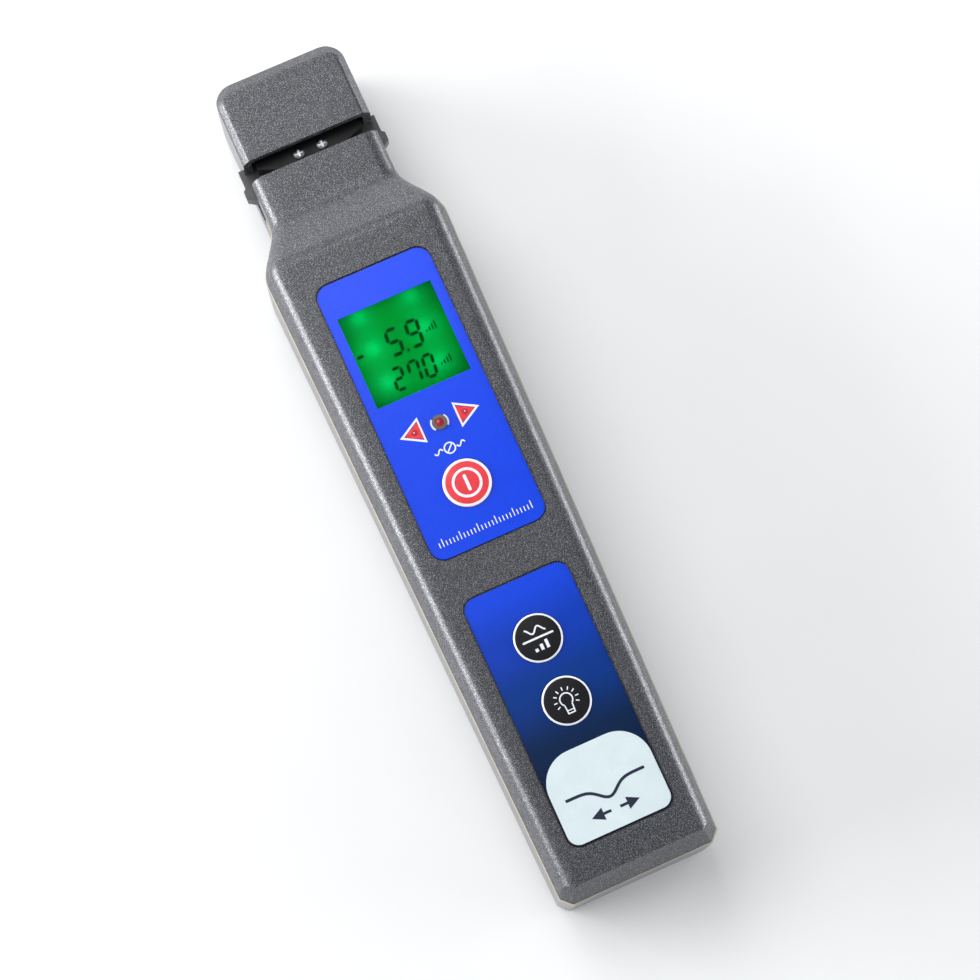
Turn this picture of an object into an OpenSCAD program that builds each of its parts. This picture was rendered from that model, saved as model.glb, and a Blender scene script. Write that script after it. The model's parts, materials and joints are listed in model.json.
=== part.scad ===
// Optical fibre identifier: a portable test instrument with a slotted head.
// It lies on its back: X across, Y towards the head, Z up through the front face.

/* [Body] */
// Length from the bottom end to the top of the head
body_length = 230.4; // [226:0.4:240]
// Thickness at the display and the keys
body_thickness = 36; // [36:0.5:40]
// Width across the shoulders, at the seam
shoulder_width = 50.3; // [49:0.1:56]
// Width at the bottom end, at the seam
end_width = 42.6; // [42:0.1:48]
// Width of the neck and the head, at the seam
neck_width = 36.2; // [36:0.1:40]
// How far the front of the neck and head lies below the front of the body
head_drop = 9; // [8:0.25:9.5]
// Height of the front shell's side wall, from the seam to its face
seam_depth = 9; // [8:0.25:9.5]
// Wall of the shells
wall = 2.2; // [1.8:0.1:2.4]
// Rounding of the long front edges
edge_r = 2.6; // [1.5:0.1:3.2]
// Rounding of the long rear edges
rear_r = 3; // [1.5:0.1:3.4]
// How far each side wall leans in over the seam depth
side_draft = 1.9; // [0.5:0.1:2.4]
// How far the bottom wall leans in over the seam depth
end_draft = 3.4; // [1:0.1:4]
// Chamfer of the two bottom corners
corner_chamfer = 2.4; // [1:0.1:3]

/* [Head] */
// Height of the head above the slot
head_height = 23; // [21:0.5:27]
// Height of the slot between the lip and the head
slot_height = 4.7; // [4.5:0.1:6]
// Straight neck below the lip
neck_length = 10.2; // [9:0.1:12]
// Length over which the neck widens to the shoulders
shoulder_length = 17.8; // [15:0.1:20]
// Length of the ramp between the neck and the face
ramp_length = 13; // [10:0.5:14]
// Corner radius of the head, seen from the front
head_corner_r = 5.5; // [3:0.1:7]
// Rounding of the top edge of the head
head_edge_r = 2.9; // [1.5:0.1:4]
// Gap of the closed jaw between the anvil and the saddle
jaw_gap = 3; // [2:0.1:3.5]
// Radius of the anvil's nose
nose_r = 12; // [10:0.5:15]
// Slope of the anvil's flanks
flank_angle = 22; // [18:1:26]
// Travel of the trigger, which opens the slot
trigger_travel = 5; // [3:0.5:5.5]

/* [Face] */
// Width of the upper overlay
upper_width = 31; // [30:0.5:34]
// Length of the upper overlay
upper_length = 76.8; // [74:0.2:80]
// Width of the lower overlay
lower_width = 28.1; // [27:0.1:31]
// Length of the lower overlay
lower_length = 66.4; // [60:0.2:70]
// Gap between the two overlays
overlay_gap = 11.5; // [9:0.5:13]
// Corner radius of the overlays
overlay_r = 5; // [3:0.5:7]
// Radius of the three keys
key_r = 6.2; // [5.5:0.1:7]
// Travel of each key
key_travel = 0.4; // [0.2:0.05:0.6]
// Width of the display's window
display_width = 25.6; // [22:0.2:26]
// Height of the display's window
display_height = 25.4; // [22:0.2:27]

/* [Power] */
// Width of the block battery
battery_width = 26.5; // [25:0.5:27]
// Length of the block battery, without its studs
battery_length = 46.4; // [44:0.2:48]
// Thickness of the block battery
battery_thickness = 17.5; // [16:0.5:18]
// Length of the battery door
door_length = 67; // [64:1:72]

/* [Hidden] */
$fn = 48;

// Length by which a cut runs past the face it opens
overrun = 1;
// Gap between fixed pieces that drop into each other
seat_gap = 0.2;
// Gap beside pieces that move
slide_gap = 0.3;
// Radial clearance of a pin or rod in its bore
pin_gap = 0.05;

// Ends and heights of the housing
y_end = -body_length / 2;
y_top = body_length / 2;
y_head = y_top - head_height;
y_lip = y_head - slot_height;
y_neck = y_lip - neck_length;
y_shoulder = y_neck - shoulder_length;
ramp_offset = 3;
y_ramp = y_neck - ramp_offset;
z_face = body_thickness;
z_head = body_thickness - head_drop;
z_neck_seam = z_head - seam_depth;
z_body_seam = z_face - seam_depth;
gasket_t = 0.5;
gasket_w = 1.9;
shoulder_steps = 14;
edge_steps = 6;
top_steps = 6;
// Share of a sine that eases the ramp in and out
ramp_ease_share = 0.5;

// Face layout, measured down from the top edge of each overlay
upper_drop = 63.9;
display_drop = 22.1;
lamp_drop = 44.2;
power_drop = 61.1;
mode_drop = 15.6;
lamp_key_drop = 32.6;
y_upper = y_top - upper_drop;
y_lower = y_upper - upper_length - overlay_gap;
y_display = y_upper - display_drop;
y_lamps = y_upper - lamp_drop;
y_power = y_upper - power_drop;
y_mode = y_lower - mode_drop;
y_lamp = y_lower - lamp_key_drop;
key_places = [y_power, y_mode, y_lamp];
recess_depth = 0.7;
overlay_t = 0.5;
z_bed = z_face - recess_depth;
z_inner = z_face - wall;

// Arrow windows and lamps
arrow_x = 7.15;
arrow_length = 4.9;
arrow_width = 5.2;
arrow_t = 2.6;
arrow_lamp_r = 1.45;
signal_r = 1.9;
signal_flange = 0.5;
signal_rise = 0.25;
// How far an arrow's point and corners move out for each unit of clearance round it
point_share = 1.6;
corner_share = 1.4;

// Keys and their switches
key_gap = 0.15;
key_flange = 0.9;
key_flange_t = 0.8;
key_rise = 0.25;
key_dome = 0.25;
stem_r = 2.2;
switch_size = [6, 6, 3.5];
plunger_r = 1.7;
plunger_rise = 0.9;
plunger_depth = 1.6;

// Battery bay and door
snap_size = [25, 3, 10];
bay_gap = 0.5;
bay_wall = 1.5;
bay_inset = 5.6;
foam_t = 1;
foam_margin = 1.5;
door_plate_t = 1.2;
tongue_t = 1;
tongue_reach = 1;
shelf_t = 1.4;
door_gap = 0.2;
grip_pitch = 3;
grip_r = 0.7;
grips = 5;
z_bay_floor = door_plate_t + tongue_t + 2 * door_gap;
z_battery = z_bay_floor + foam_t;
z_battery_mid = z_battery + battery_thickness / 2;
z_bay_roof = z_battery + battery_thickness + bay_gap;
bay_half = max(battery_width, snap_size.x) / 2 + bay_gap;
y_bay = y_end + bay_inset;
y_bay_top = y_end + door_length;
y_battery = y_bay + bay_gap;
y_battery_top = y_battery + battery_length;

// Battery studs, snap connector and leads
stud_pitch = 12.7;
stud_r = 2.9;
stud_h = 2.2;
socket_r = 4;
snap_gap = 0.3;
y_snap = y_battery_top + snap_gap;
lead_r = 0.65;
lead_sides = 8;
lead_x = 2.6;
lead_notch_half = 5;
lead_notch_rise = 6;
// Route of a lead from the snap connector to the board, as shares of its reach in Y and Z
lead_shares = [[0, 0], [0.16, 0], [0.34, 0.02], [0.52, 0.1], [0.7, 0.26], [0.86, 0.5],
    [0.96, 0.74], [1, 1]];

// Main board and what is on it
board_t = 1.6;
board_width = 35;
board_top_gap = 6.2;
board_end_rise = 30.2;
board_frame_rise = 4.25;
z_board_top = z_inner - board_top_gap;
z_board = z_board_top - board_t;
y_board_low = y_end + board_end_rise;
board_hole_r = 1.05;
board_screw_r = 0.95;
board_screw_head_r = 1.9;
board_screw_head_t = 1.2;
board_screw_length = 7;
board_post_r = 2.6;
board_screw_x = 14.4;
board_screw_rise = 3.7;
board_screw_ys = [y_bay_top + bay_wall + board_screw_rise + board_post_r, y_lamps + signal_flange];
rest_half = 12;
rest_w = 3;
rest_rise = 28;
chip_size = [10, 10, 1.4];
chip_x = -8.4;
chip_drop = 14;
amplifier_size = [5, 6, 1.5];
amplifier_x = 9.6;
amplifier_drop = 12;
small_part_size = [2, 1.2, 0.8];
small_part_pitch = 3.4;
small_part_x = 14.6;
small_part_counts = [6, 5];
coil_size = [4.4, 4.4, 2.6];
coil_drop = 24;
buzzer_r = 6;
buzzer_t = 3;
buzzer_drop = 22;

// Display stack
window_t = 1.15;
window_margin = 1.3;
glass_margin_x = 1.5;
glass_margin_y = 2.25;
glass_t = 2.2;
light_t = 3;
frame_wall = 1.4;
strip_w = 2;
z_glass = z_inner - seat_gap - glass_t;
glass_w = display_width + 2 * glass_margin_x;
glass_h = display_height + 2 * glass_margin_y;
y_frame_top = y_display + glass_h / 2 + seat_gap + frame_wall;
y_board_high = y_frame_top + board_frame_rise;

// Anvil in the head
anvil_t = 4.5;
anvil_side_gap = 1.2;
anvil_half = neck_width / 2 - wall - anvil_side_gap;
anvil_height = 12;
nose_drop = 1.6;
z_anvil_front = z_neck_seam + anvil_t;
y_nose = y_lip - nose_drop;
nose_centre = y_nose + nose_r;
anvil_screw_x = 3.25;
anvil_screw_rise = 3.1;
anvil_screw_r = 0.75;
anvil_screw_head_r = 1.45;
anvil_screw_head_t = 1;
anvil_screw_length = 8;
cross_size = [0.5, 1.9, 0.5];
y_anvil_screw = y_lip + anvil_screw_rise;

// Saddle, the exchangeable adapter
plate_t = 3.5;
z_plate = z_neck_seam - gasket_t - slide_gap - plate_t;
z_plate_front = z_plate + plate_t;
saddle_side_gap = 1.9;
saddle_half = neck_width / 2 - wall - saddle_side_gap;
saddle_height = 9;
saddle_face_gap = 0.4;
y_saddle_top = y_lip - seat_gap;
y_saddle = y_saddle_top - saddle_height;
z_saddle_front = z_head - wall - saddle_face_gap;
ear_reach = 2.1;
ear_upper_reach = 1.3;
ear_rise = 6.8;
ear_step = 1.9;
ear_bevel = 0.7;
ear_low = 3.2;
y_ear_low = y_lip - ear_low;
y_ear_high = y_lip + ear_rise;
post_half = 7.4;
post_rise = 0.8;
plate_window_gap = 1;
y_post = y_lip + post_rise;
pin_r = 1;
pin_length = 8;
pin_x = 11.5;
pin_rise = 5.8;
z_pin = z_plate + pin_rise;

// Detectors and their board
sensor_x = 6;
sensor_rise = 2.3;
z_sensor = z_neck_seam + sensor_rise;
can_r = 2.35;
can_flange_r = 2.7;
can_flange_t = 0.4;
can_h = 3.2;
lens_r = 0.9;
lens_rise = 0.2;
sensor_window_r = 1.1;
sensor_board_t = 0.8;
sensor_board_h = 6.6;
sensor_board_w = 20;
y_sensor_front = y_saddle + sensor_board_t;

// Trigger pocket and trigger on the back
pocket_depth = 5.6;
pocket_wall = 1.8;
pocket_half = 10.6;
pocket_slope = 4;
pocket_end_gap = 1.5;
pocket_top_rise = 8.5;
pull_gap = 16;
pad_half = 9;
pad_length = 22;
pad_rise = 0.5;
pad_heel = 1;
pad_edge = 1.5;
pad_ribs = 5;
rib_pitch = 3;
rib_r = 0.7;
y_pocket_top = y_shoulder + pocket_top_rise;
y_pad_top = y_pocket_top - pull_gap;
y_pad = y_pad_top - pad_length;
y_pocket = y_pad - trigger_travel - pocket_end_gap;
z_pocket_roof = pocket_depth + pocket_wall;
stem_half = 3.6;
stem_length = 7;
stem_inset = 8;
y_stem = y_pad_top - stem_inset - stem_length;

// Link from the trigger to the carriage
z_link = z_pocket_roof + slide_gap;
link_t = 1.2;
link_half = 5;
link_tab_h = 8;
link_screw_r = 0.95;
link_screw_head_r = 1.4;
link_screw_head_t = 1;
link_screw_length = 6;
z_link_screw = z_link + link_tab_h - 2 * link_screw_head_r;
link_screw_ys = [y_stem + stem_length / 4, y_stem + stem_length * 3 / 4];

// Deck, carriage, rods and springs in the neck
deck_gap = 0.4;
deck_t = 2;
z_deck = z_plate - deck_gap;
y_deck_top = y_head + anvil_height;
carriage_length = 16;
carriage_half = 13.8;
carriage_rise = 0.5;
carriage_face_gap = 0.8;
y_carriage = y_saddle - carriage_length;
z_carriage = z_link + carriage_rise;
z_carriage_top = z_head - wall - carriage_face_gap;
y_stop = y_saddle + slide_gap;
stop_wall = 4;
rod_r = 1.5;
rod_x = 10.8;
rod_drop = 2.3;
rod_post_wall = 2.6;
z_rod = z_deck - rod_drop;
spring_length = 16;
y_rod_stop = y_carriage - spring_length;
spring_r = 2.7;
spring_wire_r = 0.3;
spring_curls = 7;
spring_rings = 8;
spring_sides = 6;
strip_width = 6;
strip_t = 0.2;
strip_slack = 4;
strip_bend = 2;

// Shell screws and their bosses
screw_r = 1.25;
screw_core_r = 1.05;
screw_head_r = 1.9;
screw_head_t = 1.6;
screw_sink = 7;
screw_end_gap = 3.6;
boss_r = 2;
rear_boss_r = 3.4;
end_screw_inset = 4.05;
end_screw_rise = 11.2;
shoulder_screw_inset = 5.2;
shoulder_screw_drop = 5.5;
head_screw_x = 11.8;
head_screw_drop = 7.2;
head_screw_sink = 4;
head_screw_end_gap = 3.4;
y_end_screw = y_end + end_screw_rise;
y_shoulder_screw = y_shoulder - shoulder_screw_drop;
y_head_screw = y_top - head_screw_drop;

// Half the width of the housing at the seam
function half_width(y) =
    y <= y_shoulder
        ? (end_width + (shoulder_width - end_width) * (y - y_end) / (y_shoulder - y_end)) / 2
        : y >= y_neck
            ? neck_width / 2
            : (neck_width + (shoulder_width - neck_width)
                * (1 - cos(180 * (y_neck - y) / shoulder_length)) / 2) / 2;

// Share of the head drop that is left at a place along the ramp
function ramp_share(t) = t <= 0 ? 0 : t >= 1 ? 1 : t - ramp_ease_share * sin(360 * t) / (2 * PI);
function face_z(y) = z_head + head_drop * ramp_share((y_ramp - y) / ramp_length);
function seam_z(y) = face_z(y) - seam_depth;

// How far a quarter round of radius r has fallen at a distance d from its end
function round_fall(d, r) = d >= r ? 0 : r - sqrt(r * r - (r - d) * (r - d));

function arc(c, r, a0, a1, steps) =
    [for (i = [0:steps]) let (a = a0 + (a1 - a0) * i / steps) c + r * [cos(a), sin(a)]];
function both_sides(half) =
    concat(half, [for (i = [len(half) - 1:-1:0]) [-half[i][0], half[i][1]]]);

// Section of a front shell: a leaning wall, a rounded edge and a flat face
function front_ring(w, z0, z1, lean_from, r) =
    let (
        lean = side_draft / seam_depth,
        n = [1, lean] / norm([1, lean]),
        cz = z1 - r,
        cx = w - (r + n[1] * (cz - lean_from)) / n[0]
    )
    both_sides(concat([[w - lean * (z0 - lean_from), z0]],
        arc([cx, cz], r, atan(lean), 90, edge_steps)));

// Section of the rear shell: an upright wall, a rounded edge and a flat back
function rear_ring(w, z0, z1, r) =
    both_sides(concat(arc([w - r, z0 + r], r, -90, 0, edge_steps), [[w, z1]]));
function plain_ring(w, z0, z1) = both_sides([[w, z0], [w, z1]]);

// Triangles between rings of n points, the rings following each other
function ring_sides(n, last) =
    [for (i = [0:last - 1]) for (j = [0:n - 1])
        let (a = i * n + j, b = i * n + (j + 1) % n)
        each [[a, b, b + n], [a, b + n, a + n]]];

// Skin over rings of equal length, each at its own place along Y
module skin(ys, rings) {
    n = len(rings[0]);
    last = len(ys) - 1;
    points = [for (i = [0:last]) for (p = rings[i]) [p[0], ys[i], p[1]]];
    polyhedron(points, concat([[for (j = [n - 1:-1:0]) j]], ring_sides(n, last),
        [[for (j = [0:n - 1]) last * n + j]]));
}

shoulder_ys = [for (i = [0:shoulder_steps]) y_shoulder + shoulder_length * i / shoulder_steps];
top_ys = [for (i = [0:top_steps]) y_top - head_corner_r * (1 - sin(90 * i / top_steps))];
function top_inset(y) = round_fall(y_top - y, head_corner_r);
function top_fall(y) = round_fall(y_top - y, head_edge_r);

// Solid front between two heights, shrunk by the inset; low runs past the seam
module front_form(ys, inset, low) {
    skin(ys, [for (y = ys)
        front_ring(half_width(y) - inset - top_inset(y + inset), seam_z(y) - low,
            face_z(y) - inset - top_fall(y + inset), seam_z(y), max(edge_r - inset, edge_r / 4))]);
}

module rear_form(ys, inset, top) {
    skin(ys, [for (y = ys)
        rear_ring(half_width(y) - inset - top_inset(y + inset), inset + top_fall(y + inset),
            seam_z(y) + top, max(rear_r - inset, rear_r / 4))]);
}

// Everything beyond the leaning bottom wall and the two chamfered corners
module end_cuts(lean) {
    reach = body_length;
    tilt = atan(lean / seam_depth);
    places = [[0, 0], [-1, -45], [1, 45]];
    for (place = places)
        translate([place[0] * (half_width(y_end) - corner_chamfer), y_end, z_body_seam])
            rotate([0, 0, place[1]]) rotate([-tilt, 0, 0])
                translate([-reach / 2, -reach, -reach / 2]) cube(reach);
}

module rounded_rect(w, h, r) {
    square([w - 2 * r, h], center = true);
    square([w, h - 2 * r], center = true);
    for (sx = [-1, 1])
        for (sy = [-1, 1])
            translate([sx * (w / 2 - r), sy * (h / 2 - r)]) circle(r = r);
}

// Plate with round corners, centred on x = 0 and on y, between two heights
module rounded_plate(w, h, r, y, z0, z1) {
    translate([0, y, z0]) linear_extrude(z1 - z0) rounded_rect(w, h, r);
}

// Box centred on x and y, standing on z
module block(size, x, y, z) {
    translate([x - size.x / 2, y - size.y / 2, z]) cube(size);
}

// Box between two corners
module span(a, b) {
    translate(a) cube(b - a);
}

// Upright cylinder between two heights
module post(r, x, y, z0, z1) {
    translate([x, y, z0]) cylinder(r = r, h = z1 - z0);
}

// Cylinder along Y between two places
module rod(r, x, z, y0, y1) {
    translate([x, y0, z]) rotate([-90, 0, 0]) cylinder(r = r, h = y1 - y0);
}

module at_shell_screws() {
    for (side = [-1, 1]) {
        translate([side * (half_width(y_end_screw) - end_screw_inset), y_end_screw, 0]) children();
        translate([side * (half_width(y_shoulder_screw) - shoulder_screw_inset),
            y_shoulder_screw, 0]) children();
    }
}

module at_head_screws() {
    for (side = [-1, 1]) translate([side * head_screw_x, y_head_screw, 0]) children();
}

module at_board_screws() {
    for (y = board_screw_ys)
        for (side = [-1, 1]) translate([side * board_screw_x, y, 0]) children();
}

// Arrow on the face, pointing to the side given, grown by a clearance
module arrow_prism(side, grow, z0, z1) {
    half = arrow_length / 2;
    translate([side * arrow_x, y_lamps, z0]) linear_extrude(z1 - z0)
        polygon([[side * (half + point_share * grow), 0],
            [-side * (half + grow), arrow_width / 2 + corner_share * grow],
            [-side * (half + grow), -arrow_width / 2 - corner_share * grow]]);
}

// Region above the bend line; gap moves the line down by that much
module bend_region(gap) {
    r = nose_r + gap;
    foot = [r * sin(flank_angle), nose_centre - r * cos(flank_angle)];
    reach = neck_width;
    top = foot.y + (reach - foot.x) * tan(flank_angle);
    translate([0, nose_centre]) circle(r = r, $fn = 96);
    polygon([[-foot.x, foot.y], [foot.x, foot.y], [reach, top], [reach, y_top + reach],
        [-reach, y_top + reach], [-reach, top]]);
}

// Outline of the saddle's back plate with its ears
module plate_shape() {
    w = neck_width / 2;
    y_step = y_lip + ear_step;
    half = [[w - wall / 2, y_ear_low], [w + ear_reach, y_ear_low + ear_reach],
        [w + ear_reach, y_step - ear_bevel], [w + ear_upper_reach, y_step],
        [w + ear_upper_reach, y_ear_high]];
    polygon(both_sides(half));
}

module rear_walls() {
    difference() {
        rear_form(concat([y_end], shoulder_ys, top_ys), 0, -gasket_t);
        rear_form(concat([y_end + wall], shoulder_ys, [for (y = top_ys) y - wall]), wall, overrun);
    }
}

// Blocks and posts inside the rear shell
module rear_blocks() {
    root = wall / 2;
    side_in = neck_width / 2 - root;
    // Deck that closes the neck and the head behind the saddle
    span([-side_in, y_stop, z_deck - deck_t], [side_in, y_deck_top, z_deck]);
    // Wall that stops the carriage and holds the upper ends of the rods
    span([-side_in, y_stop, root], [side_in, y_stop + stop_wall, z_deck]);
    // Posts that hold the lower ends of the rods and carry the upper end of the board
    for (side = [-1, 1])
        block([2 * (rod_r + rod_post_wall), stop_wall, z_board - root],
            side * rod_x, y_rod_stop - stop_wall / 2, root);
    // Post that carries the anvil
    span([-post_half, y_post, z_deck - root], [post_half, y_deck_top, z_neck_seam]);
    // Walls and roof round the trigger's pocket
    span([-pocket_half - pocket_wall, y_pocket - pocket_wall, root],
        [pocket_half + pocket_wall, y_pocket_top + pocket_wall, z_pocket_roof]);
    // Battery bay, and the rest on its roof that carries the lower end of the board
    span([-bay_half - bay_wall, y_bay - bay_wall, root],
        [bay_half + bay_wall, y_bay_top + bay_wall, z_bay_roof + bay_wall]);
    span([-rest_half, y_bay + rest_rise, z_bay_roof], [rest_half, y_bay + rest_rise + rest_w, z_board]);
    // Shelves over the door's tongues
    span([-end_width / 2 + root, y_end + root, z_bay_floor],
        [end_width / 2 - root, y_bay_top + bay_wall, z_bay_floor + shelf_t]);
    at_shell_screws() {
        post(rear_boss_r, 0, 0, root, z_body_seam - gasket_t - seat_gap);
        post(boss_r, 0, 0, root, z_body_seam);
    }
    at_head_screws() post(rear_boss_r, 0, 0, root, z_neck_seam - gasket_t);
    at_board_screws() post(board_post_r, 0, 0, root, z_board);
}

// Bore for a shell screw and for its head, from the back
module screw_way(sink, z1) {
    post(screw_r + seat_gap, 0, 0, sink, z1);
    post(screw_head_r + seat_gap, 0, 0, -overrun, sink + screw_head_t);
}

module rear_cuts() {
    end_cuts(0);
    // Slots in the side walls for the saddle's ears
    for (side = [-1, 1])
        block([4 * wall, y_ear_high - y_ear_low + trigger_travel + 2 * slide_gap, z_neck_seam],
            side * neck_width / 2, (y_ear_high + y_ear_low - trigger_travel) / 2, z_deck);
    // Trigger pocket with a sloping upper end
    slope_run = pocket_slope * overrun / pocket_depth;
    translate([-pocket_half, 0, 0]) rotate([90, 0, 90]) linear_extrude(2 * pocket_half)
        polygon([[y_pocket, -overrun], [y_pocket, pocket_depth],
            [y_pocket_top - pocket_slope, pocket_depth], [y_pocket_top + slope_run, -overrun]]);
    // Slot for the trigger's stem
    span([-stem_half - slide_gap, y_stem - trigger_travel - slide_gap, 0],
        [stem_half + slide_gap, y_stem + stem_length + slide_gap, z_pocket_roof + overrun]);
    for (side = [-1, 1])
        rod(rod_r + pin_gap, side * rod_x, z_rod, y_rod_stop - stop_wall / 2, y_stop + stop_wall / 2);
    // Inside of the battery bay, open to the back, and the way out of its leads
    span([-bay_half, y_bay, -overrun], [bay_half, y_bay_top, z_bay_roof]);
    span([-lead_notch_half, y_bay_top - overrun, z_battery + lead_notch_rise],
        [lead_notch_half, y_bay_top + bay_wall + overrun, z_bay_roof + bay_wall + overrun]);
    // Way of the door and of its tongues, open at the bottom end
    span([-bay_half - door_gap, y_end - overrun, -overrun],
        [bay_half + door_gap, y_bay_top + door_gap, z_bay_floor]);
    span([-bay_half - tongue_reach - door_gap, y_end - overrun, door_plate_t],
        [bay_half + tongue_reach + door_gap, y_bay_top + door_gap, z_bay_floor]);
    at_shell_screws() screw_way(screw_sink, z_body_seam + overrun);
    at_head_screws() screw_way(head_screw_sink, z_neck_seam + overrun);
    at_board_screws() post(board_screw_r, 0, 0, z_board_top - board_screw_length, z_board + overrun);
    for (side = [-1, 1])
        post(anvil_screw_r, side * anvil_screw_x, y_anvil_screw,
            z_anvil_front - anvil_screw_length, z_neck_seam + overrun);
}

module rear_shell() {
    color("dimgray") difference() {
        union() {
            rear_walls();
            rear_blocks();
        }
        rear_cuts();
    }
}

module front_shell() {
    y_in = y_end + end_draft + wall;
    z_low = z_inner - overrun;
    z_high = z_face + overrun;
    color("dimgray") difference() {
        union() {
            difference() {
                front_form(concat([y_end], shoulder_ys, [y_lip]), 0, 0);
                end_cuts(end_draft);
                front_form(concat([y_in], shoulder_ys, [y_lip + overrun]), wall, overrun);
            }
            at_shell_screws() post(boss_r, 0, 0, z_body_seam, z_inner + seat_gap);
        }
        // Shallow beds for the overlays
        rounded_plate(upper_width + 2 * seat_gap, upper_length + 2 * seat_gap, overlay_r,
            y_upper - upper_length / 2, z_bed, z_high);
        rounded_plate(lower_width + 2 * seat_gap, lower_length + 2 * seat_gap, overlay_r,
            y_lower - lower_length / 2, z_bed, z_high);
        // Opening that holds the clear window
        block([display_width + 2 * (window_margin + seat_gap),
            display_height + 2 * (window_margin + seat_gap), z_high - z_low], 0, y_display, z_low);
        for (y = key_places) post(key_r + 2 * key_gap, 0, y, z_low, z_high);
        for (side = [-1, 1]) arrow_prism(side, seat_gap, z_low, z_high);
        post(signal_r + seat_gap, 0, y_lamps, z_low, z_high);
        at_shell_screws() post(screw_core_r, 0, 0, z_body_seam - overrun, z_face - screw_end_gap + seat_gap);
    }
}

module head_cover() {
    color("dimgray") difference() {
        union() {
            difference() {
                front_form(concat([y_head], top_ys), 0, gasket_t);
                front_form(concat([y_head - overrun], [for (y = top_ys) y - wall]), wall,
                    gasket_t + overrun);
            }
            at_head_screws() post(boss_r, 0, 0, z_neck_seam - gasket_t, z_head - wall + seat_gap);
        }
        at_head_screws()
            post(screw_core_r, 0, 0, z_neck_seam - 2 * overrun, z_head - head_screw_end_gap + seat_gap);
    }
}

module seam_gasket() {
    y_stop_seal = y_ear_low - trigger_travel - slide_gap;
    ys = concat([y_end], shoulder_ys, [y_stop_seal]);
    in_ys = concat([y_end + gasket_w], shoulder_ys, [y_stop_seal + overrun]);
    color("wheat") difference() {
        skin(ys, [for (y = ys) plain_ring(half_width(y), seam_z(y) - gasket_t, seam_z(y))]);
        skin(in_ys, [for (y = in_ys)
            plain_ring(half_width(y) - gasket_w, seam_z(y) - 2 * gasket_t, seam_z(y) + gasket_t)]);
        end_cuts(0);
    }
}

module battery_door() {
    color("dimgray") difference() {
        union() {
            span([-bay_half, y_end, 0], [bay_half, y_bay_top, z_bay_floor - door_gap]);
            span([-bay_half - tongue_reach, y_end + wall, door_plate_t + door_gap],
                [bay_half + tongue_reach, y_bay_top, z_bay_floor - door_gap]);
        }
        // Grip grooves near the upper end
        for (i = [2:grips + 1])
            translate([-bay_half / 2, y_bay_top - i * grip_pitch, 0])
                rotate([0, 90, 0]) cylinder(r = grip_r, h = bay_half);
    }
}

module upper_overlay() {
    color("royalblue") difference() {
        rounded_plate(upper_width, upper_length, overlay_r, y_upper - upper_length / 2,
            z_bed, z_bed + overlay_t);
        block([display_width, display_height, 2 * overrun], 0, y_display, z_bed - overrun);
        post(key_r + key_gap, 0, y_power, z_bed - overrun, z_face);
        for (side = [-1, 1]) arrow_prism(side, seat_gap / 2, z_bed - overrun, z_face);
        post(signal_r + seat_gap / 2, 0, y_lamps, z_bed - overrun, z_face);
    }
}

module lower_overlay() {
    color("midnightblue") difference() {
        rounded_plate(lower_width, lower_length, overlay_r, y_lower - lower_length / 2,
            z_bed, z_bed + overlay_t);
        for (y = [y_mode, y_lamp]) post(key_r + key_gap, 0, y, z_bed - overrun, z_face);
    }
}

module display_window() {
    color([0.6, 0.9, 0.7, 0.5])
        block([display_width + 2 * window_margin, display_height + 2 * window_margin, window_t],
            0, y_display, z_bed - window_t);
}

module display_glass() {
    color("limegreen") block([glass_w, glass_h, glass_t], 0, y_display, z_glass);
}

module display_backlight() {
    color("palegreen")
        block([glass_w, glass_h - 2 * (strip_w + seat_gap), light_t], 0, y_display, z_glass - light_t);
}

module contact_strips() {
    color("darkslategray")
        for (side = [-1, 1])
            block([glass_w - 2 * strip_w, strip_w, z_glass - z_board_top],
                0, y_display + side * (glass_h - strip_w) / 2, z_board_top);
}

module display_frame() {
    inner = [glass_w + 2 * seat_gap, glass_h + 2 * seat_gap];
    color("black") difference() {
        block([inner.x + 2 * frame_wall, inner.y + 2 * frame_wall, z_inner - z_board_top],
            0, y_display, z_board_top);
        block([inner.x, inner.y, z_face], 0, y_display, z_board_top - overrun);
    }
}

// One key: a slightly domed cap in the overlay, a flange under the shell and a stem
module key_cap(y) {
    z_top = z_bed + overlay_t + key_rise;
    z_flange = z_inner - seat_gap;
    dome_r = (key_r * key_r + key_dome * key_dome) / (2 * key_dome);
    post(key_r, 0, y, z_flange - key_flange_t / 2, z_top);
    intersection() {
        translate([0, y, z_top + key_dome - dome_r]) sphere(r = dome_r, $fn = 256);
        post(key_r, 0, y, z_top - key_dome, z_top + 2 * key_dome);
    }
    post(key_r + key_flange, 0, y, z_flange - key_flange_t, z_flange);
    post(stem_r, 0, y, z_board_top + switch_size.z + plunger_rise, z_flange - key_flange_t / 2);
}

module power_key() {
    color("red") key_cap(y_power);
}

module mode_key() {
    color("black") key_cap(y_mode);
}

module lamp_key() {
    color("black") key_cap(y_lamp);
}

module plunger(y) {
    z_switch = z_board_top + switch_size.z;
    color("white")
        post(plunger_r, 0, y, z_switch - plunger_depth + key_travel + seat_gap, z_switch + plunger_rise);
}

module power_plunger() {
    plunger(y_power);
}

module mode_plunger() {
    plunger(y_mode);
}

module lamp_plunger() {
    plunger(y_lamp);
}

module key_switches() {
    z_switch = z_board_top + switch_size.z;
    color("gray")
        for (y = key_places)
            difference() {
                block(switch_size, 0, y, z_board_top);
                post(plunger_r + pin_gap, 0, y, z_switch - plunger_depth, z_switch + overrun);
            }
}

module arrow_window(side) {
    color("red") arrow_prism(side, 0, z_bed + overlay_t - arrow_t, z_bed + overlay_t);
}

module left_arrow_window() {
    arrow_window(-1);
}

module right_arrow_window() {
    arrow_window(1);
}

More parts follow.
